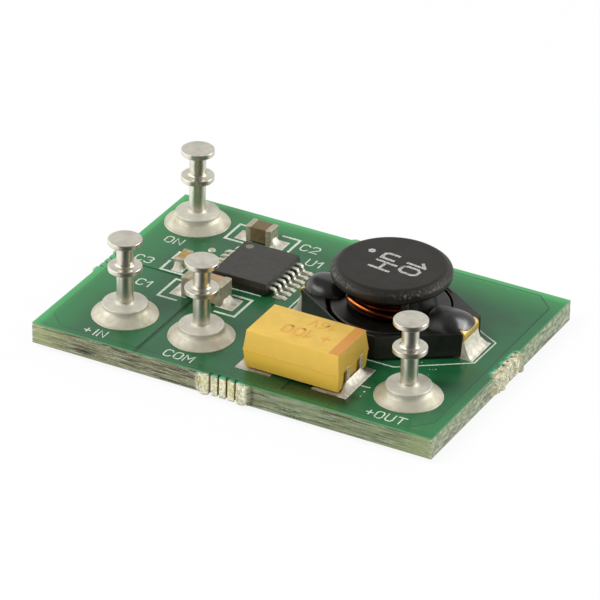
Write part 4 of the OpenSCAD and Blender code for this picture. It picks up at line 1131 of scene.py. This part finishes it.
def epoxy_drop(turn, centre, reach, height, lean, flat):
    """Drop of epoxy over polar rings: x, y = centre + rho * reach(t) + (1 - rho) * lean, where reach
    blends four half-lengths into a blunt oval and lean moves the crown off the middle, and z = height *
    (1 - rho^flat)^0.75; a tail lifts it towards the winding."""
    blunt, tail, tail_from, tail_over = 2.5, 0.2, 4.2, 1.2
    rho = np.concatenate([np.linspace(0, 0.9, 22), np.linspace(0.92, 1, 9)])[:, None]
    t = around(112)[None]
    c, s = np.cos(t), np.sin(t)
    along = reach[1] + (reach[0] - reach[1]) * (1 + c) / 2
    across = reach[3] + (reach[2] - reach[3]) * (1 + s) / 2
    size = (np.abs(c / along) ** blunt + np.abs(s / across) ** blunt) ** (-1 / blunt)
    x = centre[0] + rho * size * c + (1 - rho) * lean[0]
    y = centre[1] + rho * size * s + (1 - rho) * lean[1]
    crown = np.clip(1 - rho ** flat, 0, 1) ** 0.75
    swell = 1 + 0.05 * np.sin(2 * t + 0.7) * rho + 0.04 * np.sin(3 * t) * rho
    z = height * crown * swell + tail * np.clip((tail_from - x) / tail_over, 0, 1) ** 1.5 * np.sqrt(crown)
    rings = np.stack([x, y, BASE_TOP - 0.02 + z], -1)[::-1]
    return placed(loft(rings, caps=False), COIL_AT, turn)


def epoxy_wick():
    """Epoxy that has crept up the winding behind the right-hand drop: a section (r, z) carried round the
    coil.  Its outer radius is 2.65 + swell * (0.6 + 0.35 * (1 - s)^2) at the share s of its height, and
    the swell rises and fades as a square root of the angle from its ends."""
    first, last, rises_over, fades_over = 305, 388, 14, 24
    wound_r, hidden_r, low, high = 2.65, 2.4, BASE_TOP - 0.04, DISC_LOW + 0.02
    turn = np.linspace(first, last, 60)[:, None]
    swell = np.sqrt(np.clip(np.minimum((turn - first) / rises_over, (last - turn) / fades_over), 0, 1))
    s = np.concatenate([[0], np.linspace(0, 1, 14), [1]])[None]
    r = wound_r + swell * (0.6 + 0.35 * (1 - s) ** 2)
    r[:, [0, -1]] = hidden_r
    z = low + (high - low) * s + 0 * turn
    t = np.radians(turn)
    return placed(loft(np.stack([r * np.cos(t), r * np.sin(t), z], -1)), COIL_AT)


OUTPUT_DROP = epoxy_drop(
    0, centre=(4.45, -0.25), reach=(1.88, 1.5, 1.6, 1.8), height=0.96, lean=(-0.15, -0.6), flat=1.75)
SWITCH_DROP = epoxy_drop(
    180, centre=(4.7, 0.25), reach=(1.58, 1.7, 1.55, 1.6), height=0.88, lean=(0.5, 0.4), flat=2.3)
piece("coil_base", coil_base(), BASE, ["inductor_base"], crease=25)
piece("ferrite_spool", spool(), FERRITE, ["inductor_core"], crease=50)
piece("copper_winding", winding(), WIRE, ["inductor_winding"], crease=80)
piece("bare_lead_out", lead_out(), BARE_COPPER, crease=80)
piece("output_clip", clip(0), CLIP_METAL, ["inductor_output_clip"])
piece("switch_clip", clip(180), CLIP_METAL, ["inductor_switch_clip"])
output_drop = piece("output_drop", OUTPUT_DROP, EPOXY, ["inductor_output_cover"], crease=80)
piece("switch_drop", SWITCH_DROP, EPOXY, ["inductor_switch_cover"], crease=80)
piece("epoxy_wick", epoxy_wick(), EPOXY, crease=50)


# Print

ROUND = [(0.15, 0), (0.5, 0), (0.65, 0.2), (0.65, 0.8), (0.5, 1), (0.15, 1), (0, 0.8), (0, 0.2), (0.15, 0)]
STROKES = {  # lines of each letter, one unit high
    "+": [[(0.05, 0.5), (0.6, 0.5)], [(0.325, 0.2), (0.325, 0.8)]],
    "0": [ROUND],
    "1": [[(0.3, 0), (0.3, 1)], [(0.22, 0.93), (-0.04, 0.68)]],
    "2": [[(0, 0.8), (0.15, 1), (0.5, 1), (0.65, 0.82), (0.65, 0.62), (0, 0), (0.66, 0)]],
    "3": [[(0, 0.88), (0.15, 1), (0.5, 1), (0.65, 0.82), (0.62, 0.62), (0.4, 0.53), (0.62, 0.44), (0.65, 0.2),
           (0.5, 0), (0.15, 0), (0, 0.12)]],
    "6": [[(0.6, 1), (0.25, 0.86), (0, 0.5), (0, 0.18), (0.15, 0), (0.5, 0), (0.65, 0.18), (0.65, 0.4),
           (0.5, 0.55), (0.15, 0.55), (0, 0.4)]],
    "C": [[(0.65, 0.82), (0.5, 1), (0.15, 1), (0, 0.8), (0, 0.2), (0.15, 0), (0.5, 0), (0.65, 0.18)]],
    "H": [[(0, 0), (0, 1)], [(0.65, 0), (0.65, 1)], [(0, 0.5), (0.65, 0.5)]],
    "I": [[(0.25, 0), (0.25, 1)]],
    "M": [[(0, 0), (0, 1), (0.36, 0.4), (0.72, 1), (0.72, 0)]],
    "N": [[(0, 0), (0, 1), (0.65, 0), (0.65, 1)]],
    "O": [ROUND],
    "T": [[(0, 1), (0.7, 1)], [(0.35, 1), (0.35, 0)]],
    "U": [[(0, 1), (0, 0.2), (0.15, 0), (0.5, 0), (0.65, 0.2), (0.65, 1)]],
    "V": [[(0, 1), (0.33, 0), (0.66, 1)]],
    "u": [[(0, 0.65), (0, 0.15), (0.12, 0), (0.38, 0), (0.5, 0.15)], [(0.5, 0.65), (0.5, 0)]],
}
SCREEN_LINES = [  # width, and corners from the board's front left corner
    (0.11, [(18.6, 7.02), (24.2, 7.02), (28.68, 10.24), (28.76, 13.36), (27.46, 14.08), (24.0, 16.6),
            (18.8, 16.6), (15.5, 14.2), (14.28, 13.4), (14.28, 10.2), (15.5, 9.3), (18.6, 7.02)]),
    (0.19, [(7.0, 7.55), (5.55, 7.55), (5.55, 10.15), (7.0, 10.15)]),
    (0.19, [(10.1, 7.55), (11.6, 7.55), (11.6, 10.15), (10.1, 10.15)]),
    (0.19, [(7.0, 17.0), (5.6, 17.0), (5.6, 19.3), (7.0, 19.3)]),
    (0.19, [(9.1, 17.0), (10.45, 17.0), (10.45, 19.3), (9.1, 19.3)]),
    (0.19, [(3.88, 12.19), (3.88, 10.88), (6.1, 10.88), (6.1, 12.0)]),
    (0.19, [(3.88, 12.6), (3.88, 13.6), (6.1, 13.6), (6.1, 12.9)]),
    (0.13, [(9.0, 10.92), (11.75, 10.98)]),
    (0.12, [(23.5, 3.75), (24.05, 3.80)]),
]
SCREEN_LABELS = [  # words, start from the same corner, and height
    ("+IN", (3.55, 0.62), 0.78), ("COM", (9.85, 0.66), 0.82), ("+OUT", (25.25, 0.62), 0.82),
    ("ON", (2.05, 14.45), 0.82), ("C1", (3.35, 8.2), 0.8), ("C3", (1.55, 11.15), 0.8),
    ("C2", (10.95, 18.15), 0.85), ("U1", (12.3, 16.45), 0.85),
]


def ribbon(line, width, z, thick):
    """Printed line: a thin rectangle swept along a polyline with mitred corners, half a width longer at
    both ends unless it closes on itself."""
    line = np.array(line, float)
    shut = np.allclose(line[0], line[-1])
    step = np.diff(line, axis=0)
    step /= np.linalg.norm(step, axis=1)[:, None]
    before = np.concatenate([step[-1:] if shut else step[:1], step])
    after = np.concatenate([step, step[:1] if shut else step[-1:]])
    if not shut:
        line[0] -= step[0] * width / 2
        line[-1] += step[-1] * width / 2
    normal_a, normal_b = before[:, ::-1] * [-1, 1], after[:, ::-1] * [-1, 1]
    mitre = (normal_a + normal_b) / np.maximum(1 + (normal_a * normal_b).sum(1), 0.4)[:, None] * width / 2
    left, right, top = line + mitre, line - mitre, z + thick
    corners = ((left, z), (right, z), (right, top), (left, top))
    return loft(np.stack([at_level(side, level) for side, level in corners], 1))


def words(text, at, height, width, z, turn=0.0):
    """Stroke letters from a start point along a direction.  Each stroke is a little thicker than the one
    before, so that no two tops lie in one plane."""
    gap, space, thinnest, thicker = 0.3, 0.3, 0.010, 0.0013
    c, s = heading(turn)
    spin = np.array([[c, s], [-s, c]])
    shapes, pen = [], 0.0
    for letter in text:
        strokes = [np.array(line, float) for line in STROKES.get(letter, [])]
        for line in strokes:
            thick = thinnest + thicker * len(shapes)
            shapes.append(ribbon((line + [pen, 0]) * height @ spin + np.asarray(at, float), width, z, thick))
        pen += max([line[:, 0].max() for line in strokes] + [space]) + gap
    return shapes


def on_board(points):
    """Points given from the board's front left corner."""
    return np.asarray(points, float) + [LEFT, FRONT]


def dots(places, sizes, z):
    """Small raised flecks: low six-sided cones with a blunt top."""
    profile = np.array([[1.0, 0.0], [0.7, 0.012], [0.0, 0.014]])
    return [turned(profile * [r, 1] + [0, z], at, 6) for at, r in zip(places, sizes)]


def silkscreen():
    """Outline of the inductor, brackets round the small capacitors, generic labels and a few stray
    flecks."""
    z, thick, stroke_w, count = BOARD_TOP - 0.002, 0.012, 0.102, 16
    shapes = [ribbon(on_board(line), width, z, thick) for width, line in SCREEN_LINES]
    for text, at, height in SCREEN_LABELS:
        shapes += words(text, on_board(at), height, stroke_w, z)
    shapes += dots(on_board([(23.98, 3.17), (24.03, 2.54)]), [0.09, 0.06], z)
    flecks = np.column_stack([dice.uniform(25.2, 27.6, count), dice.uniform(5.4, 8.6, count)])
    shapes += dots(on_board(flecks), dice.uniform(0.025, 0.06, count), z)
    return joined(shapes)


def disc_print():
    """Rating in stroke numerals across the top of the disc, read from the right-hand side."""
    z, turn, width = DISC_TOP - 0.002, -97, 0.22
    shapes = words("10", COIL + [1.0, 0.95], 1.35, width, z, turn)
    shapes += words("uH", COIL + [-0.95, 1.15], 1.5, width, z, turn)
    return joined(shapes + dots([COIL + [-2.0, 0.9]], [0.3], z))


def resin_print():
    """Faint rating on the capacitor's top, upside down to the front edge."""
    mid, z, turn = CAP_MID[:2], CAP_HIGH[2] - 0.004, 180
    shapes = words("+ 100", mid + [2.05, 0.0], 0.95, 0.17, z, turn)
    shapes += words("16V", mid + [1.6, 1.45], 0.8, 0.13, z, turn)
    return joined(shapes)


piece("silkscreen_print", silkscreen(), SILKSCREEN)
piece("disc_print", disc_print(), DISC_INK)
piece("resin_print", resin_print(), RESIN_INK)


# Torn tabs

TORN_LOW, TORN_HIGH = 0.52, 1.93
TORN_ROOT = -0.05


def on_tab(tab, u, depth, z):
    """Points at u along a tab, depth out from its edge, and height z."""
    at, out = np.array(tab[0]), np.array(tab[1])
    along = np.array([-out[1], out[0]])
    flat = at[:2] + u[..., None] * along + depth[..., None] * out
    return np.concatenate([flat, z[..., None]], -1)


def torn_fibres(tab, count, seed):
    """Ragged slivers on a broken tab: thin upright wedges, each from a base on the edge face to a tip
    further out, strewn along the tab and through the thickness of the board."""
    pick = np.random.default_rng(seed)
    nub = pick.random(count) < 0.62
    at_ends = pick.choice([-1, 1], count) * pick.uniform(1.05, 1.85, count)
    between_slots = pick.integers(-1, 2, count) * 0.65 + pick.uniform(-0.19, 0.19, count)
    u = np.where(nub, at_ends, between_slots)
    low = pick.uniform(0.5, 1.45, count)
    tall = pick.uniform(0.15, 0.6, count)
    wide = pick.uniform(0.05, 0.15, count)
    reach = np.where(nub, pick.uniform(0.16, 0.32, count), pick.uniform(0.06, 0.14, count))
    drift = pick.uniform(-0.08, 0.08, count)
    top = np.minimum(low + tall, 1.9)
    root, tip_low, tip_top = np.full(count, TORN_ROOT), low + tall * 0.2, top - tall * 0.15
    base = [(-wide / 2, low), (wide / 2, low), (wide / 2, top), (-wide / 2, top)]
    tip = [(-wide / 5, tip_low), (wide / 5, tip_low), (wide / 5, tip_top), (-wide / 5, tip_top)]
    corners = [on_tab(tab, u + side, root, z) for side, z in base]
    corners += [on_tab(tab, u + drift + side, reach, z) for side, z in tip]
    box = np.array([[0, 1, 5, 4], [1, 2, 6, 5], [2, 3, 7, 6], [3, 0, 4, 7], [4, 5, 6, 7], [3, 2, 1, 0]])
    faces = (np.arange(count)[:, None, None] * 8 + box[None]).reshape(-1, 4).tolist()
    return np.stack(corners, 1).reshape(-1, 3), faces


def torn_lump(tab, seed, start=-1.85, end=1.85, swell=0.0):
    """Torn mass on a broken tab, as a depth over u (along the tab, from start to end) and z: full beyond
    |u| = 1.25, broken away below in the middle, and roughened by a sum of six sine waves of random
    direction.  A swell makes it thicker."""
    pick = np.random.default_rng(seed)
    u, z = np.meshgrid(np.linspace(start, end, 84), np.linspace(TORN_LOW, TORN_HIGH, 34), indexing="ij")
    rough = np.zeros(u.shape)
    for size in (0.9, 0.7, 0.55, 0.42, 0.34, 0.28):
        way, phase = pick.uniform(0, np.pi), pick.uniform(0, 2 * np.pi)
        rough += size * np.sin(2 * np.pi / size * 0.7 * (u * np.cos(way) + z * np.sin(way)) + phase)
    ends = np.clip((np.abs(u) - 0.85) / 0.4, 0, 1)
    keep = ends + (1 - ends) * np.clip((z - 0.95) / 0.45, 0, 1)
    from_side = np.minimum(u - start, end - u) / 0.2
    from_face = np.minimum((z - TORN_LOW) / 0.12, (TORN_HIGH - z) / 0.06)
    rim = np.sqrt(np.clip(np.minimum(from_side, from_face), 0, 1))
    depth = np.clip((0.15 + swell + 0.10 * ends + 0.06 * rough) * keep, 0.02, 0.36 + swell) * rim + TORN_ROOT
    return sheet(on_tab(tab, u, depth, z))


FRONT_TAB, BACK_TAB, _, RIGHT_TAB = TABS
torn = [torn_fibres(tab, count, 20 + i) for i, (tab, count) in enumerate(zip(TABS, (90, 60, 60, 40)))]
torn += [torn_lump(BACK_TAB, 41), torn_lump(RIGHT_TAB, 43), torn_lump(FRONT_TAB, 50, 1.45, 2.25, 0.14)]
piece("torn_fibres", joined(torn), LAMINATE, crease=40)


# Stage, in metres

AIM = (0, 0, 0.002)
CAMERA_AT = (0.126710, -0.241459, 0.158854)
TO_VIEWER, TO_LEFT, TO_FRONT_RIGHT = (0.466, -0.885, 0.0), (-0.885, -0.466, 0.0), (0.717, -0.698, 0.0)
WHITE = rgb(1, 1, 1)


def rays(tree):
    """Masks of the rays that come from the camera, from mirrors and through glass."""
    seen = add(tree, "LightPath").outputs
    return [Field(tree, seen[kind]) for kind in ("Is Camera Ray", "Is Glossy Ray", "Is Transmission Ray")]


def make_floor():
    """Plain pale floor that looks white to the camera and keeps a soft shadow; in mirrors the world
    stands for it."""
    half = 3
    corners = [(-half, -half, 0), (half, -half, 0), (half, half, 0), (-half, half, 0)]
    mesh = bpy.data.meshes.new("floor")
    mesh.from_pydata(corners, [], [(0, 1, 2, 3)])
    floor = bpy.data.objects.new("floor", mesh)
    bpy.context.scene.collection.objects.link(floor)
    material = bpy.data.materials.new("pale_floor")
    material.use_nodes = True
    tree = material.node_tree
    tree.nodes.clear()
    paint = Field(tree, add(tree, "BsdfDiffuse", {"Color": rgb(0.86, 0.86, 0.86)}).outputs[0])
    white = Field(tree, add(tree, "Emission", {"Color": WHITE, "Strength": 1.0}).outputs[0])
    both = add(tree, "MixShader", {0: most(*rays(tree)) * 0.92, 1: paint, 2: white})
    add(tree, "OutputMaterial", {"Surface": Field(tree, both.outputs[0])})
    mesh.materials.append(material)
    floor.visible_glossy = False


def make_world():
    """White room: white to the camera; in reflections it is bright on the left, plain at the back, dim
    above and dark towards the viewer, and its white ground darkens towards the front right; for light it
    is dim and even."""
    world = bpy.data.worlds.new("studio")
    bpy.context.scene.world = world
    world.use_nodes = True
    tree = world.node_tree
    tree.nodes.clear()
    way = Field(tree, add(tree, "TexCoord").outputs["Generated"])
    level = way.stretched(1, 1, 0).turn_to("NORMALIZE")
    up = way.split()[2]
    viewer = way.measure("DOT_PRODUCT", TO_VIEWER)
    left = way.measure("DOT_PRODUCT", TO_LEFT)
    front = level.measure("DOT_PRODUCT", TO_FRONT_RIGHT)
    walls = up.ramp(0.6, 0.9, 0.80, 0.36) + left.rise(0.35, 0.9, 0.9)
    walls = walls * viewer.ramp(0.15, 0.8, 1.0, 0.14)
    ground = front.ramp(0.2, 1.0, 0.82, 0.06) + left.rise(0.3, 0.9, 0.35)
    room = up.fall(-0.25, -0.05) * (ground - walls) + walls
    camera, mirrored, through = rays(tree)
    direct = most(camera, through)
    other = 1.0 - most(mirrored, direct)
    strength = mirrored * room + direct + other * 0.46
    back = add(tree, "Background", {"Color": WHITE, "Strength": strength})
    add(tree, "OutputWorld", {"Surface": Field(tree, back.outputs[0])})


def make_lamp(name, at, size, power, mirrored=True, spread=True, only=()):
    """Soft lamp of width and height `size` that faces the module.  One that isn't mirrored lights it
    without a highlight; one that isn't spread only gives highlights; with `only`, it lights just those
    pieces."""
    lamp = bpy.data.lights.new(name, "AREA")
    lamp.shape = "RECTANGLE"
    lamp.size, lamp.size_y = size
    lamp.energy = power
    ob = bpy.data.objects.new(name, lamp)
    ob.location = at
    ob.rotation_euler = (Vector(AIM) - Vector(at)).to_track_quat("-Z", "Y").to_euler()
    ob.visible_glossy = mirrored
    ob.visible_diffuse = spread
    if only:
        lit = bpy.data.collections.new(name + "_pieces")
        for one in only:
            lit.objects.link(one)
        ob.light_linking.receiver_collection = lit
    bpy.context.scene.collection.objects.link(ob)


def make_camera():
    """Long lens at the photograph's place: azimuth and elevation of the line of sight, and a slight
    roll."""
    azimuth, elevation, roll = np.radians([27.737, 29.771, 1.163])
    level = np.cos(elevation)
    sight = Vector((-np.sin(azimuth) * level, np.cos(azimuth) * level, -np.sin(elevation)))
    right = sight.cross(Vector((0, 0, 1))).normalized()
    up = right.cross(sight)
    right, up = np.cos(roll) * right + np.sin(roll) * up, np.cos(roll) * up - np.sin(roll) * right
    turn = Matrix((right, up, -sight)).transposed()
    data = bpy.data.cameras.new("photo_camera")
    data.lens = 274.28
    data.sensor_width = 36
    data.clip_start = 0.01
    camera = bpy.data.objects.new("photo_camera", data)
    camera.matrix_world = Matrix.Translation(CAMERA_AT) @ turn.to_4x4()
    bpy.context.scene.collection.objects.link(camera)
    bpy.context.scene.camera = camera


make_floor()
make_world()
make_lamp("key", (-0.13, -0.24, 0.42), (0.26, 0.26), 1.5, mirrored=False)
make_lamp("spark", (-0.21, -0.285, 0.33), (0.17, 0.17), 0.25)
make_lamp("rim", (0.26, 0.40, 0.26), (0.28, 0.28), 0.62, mirrored=False)
make_lamp("glint", (0.385, 0.24, 0.20), (0.27, 0.30), 1.0, spread=False)
make_lamp("bead", (0.285, 0.225, 0.352), (0.34, 0.21), 1.15, spread=False, only=[output_drop])
make_lamp("side", (0.42, -0.06, 0.26), (0.26, 0.26), 0.35, mirrored=False)
make_camera()
bpy.context.scene.view_settings.view_transform = "Standard"
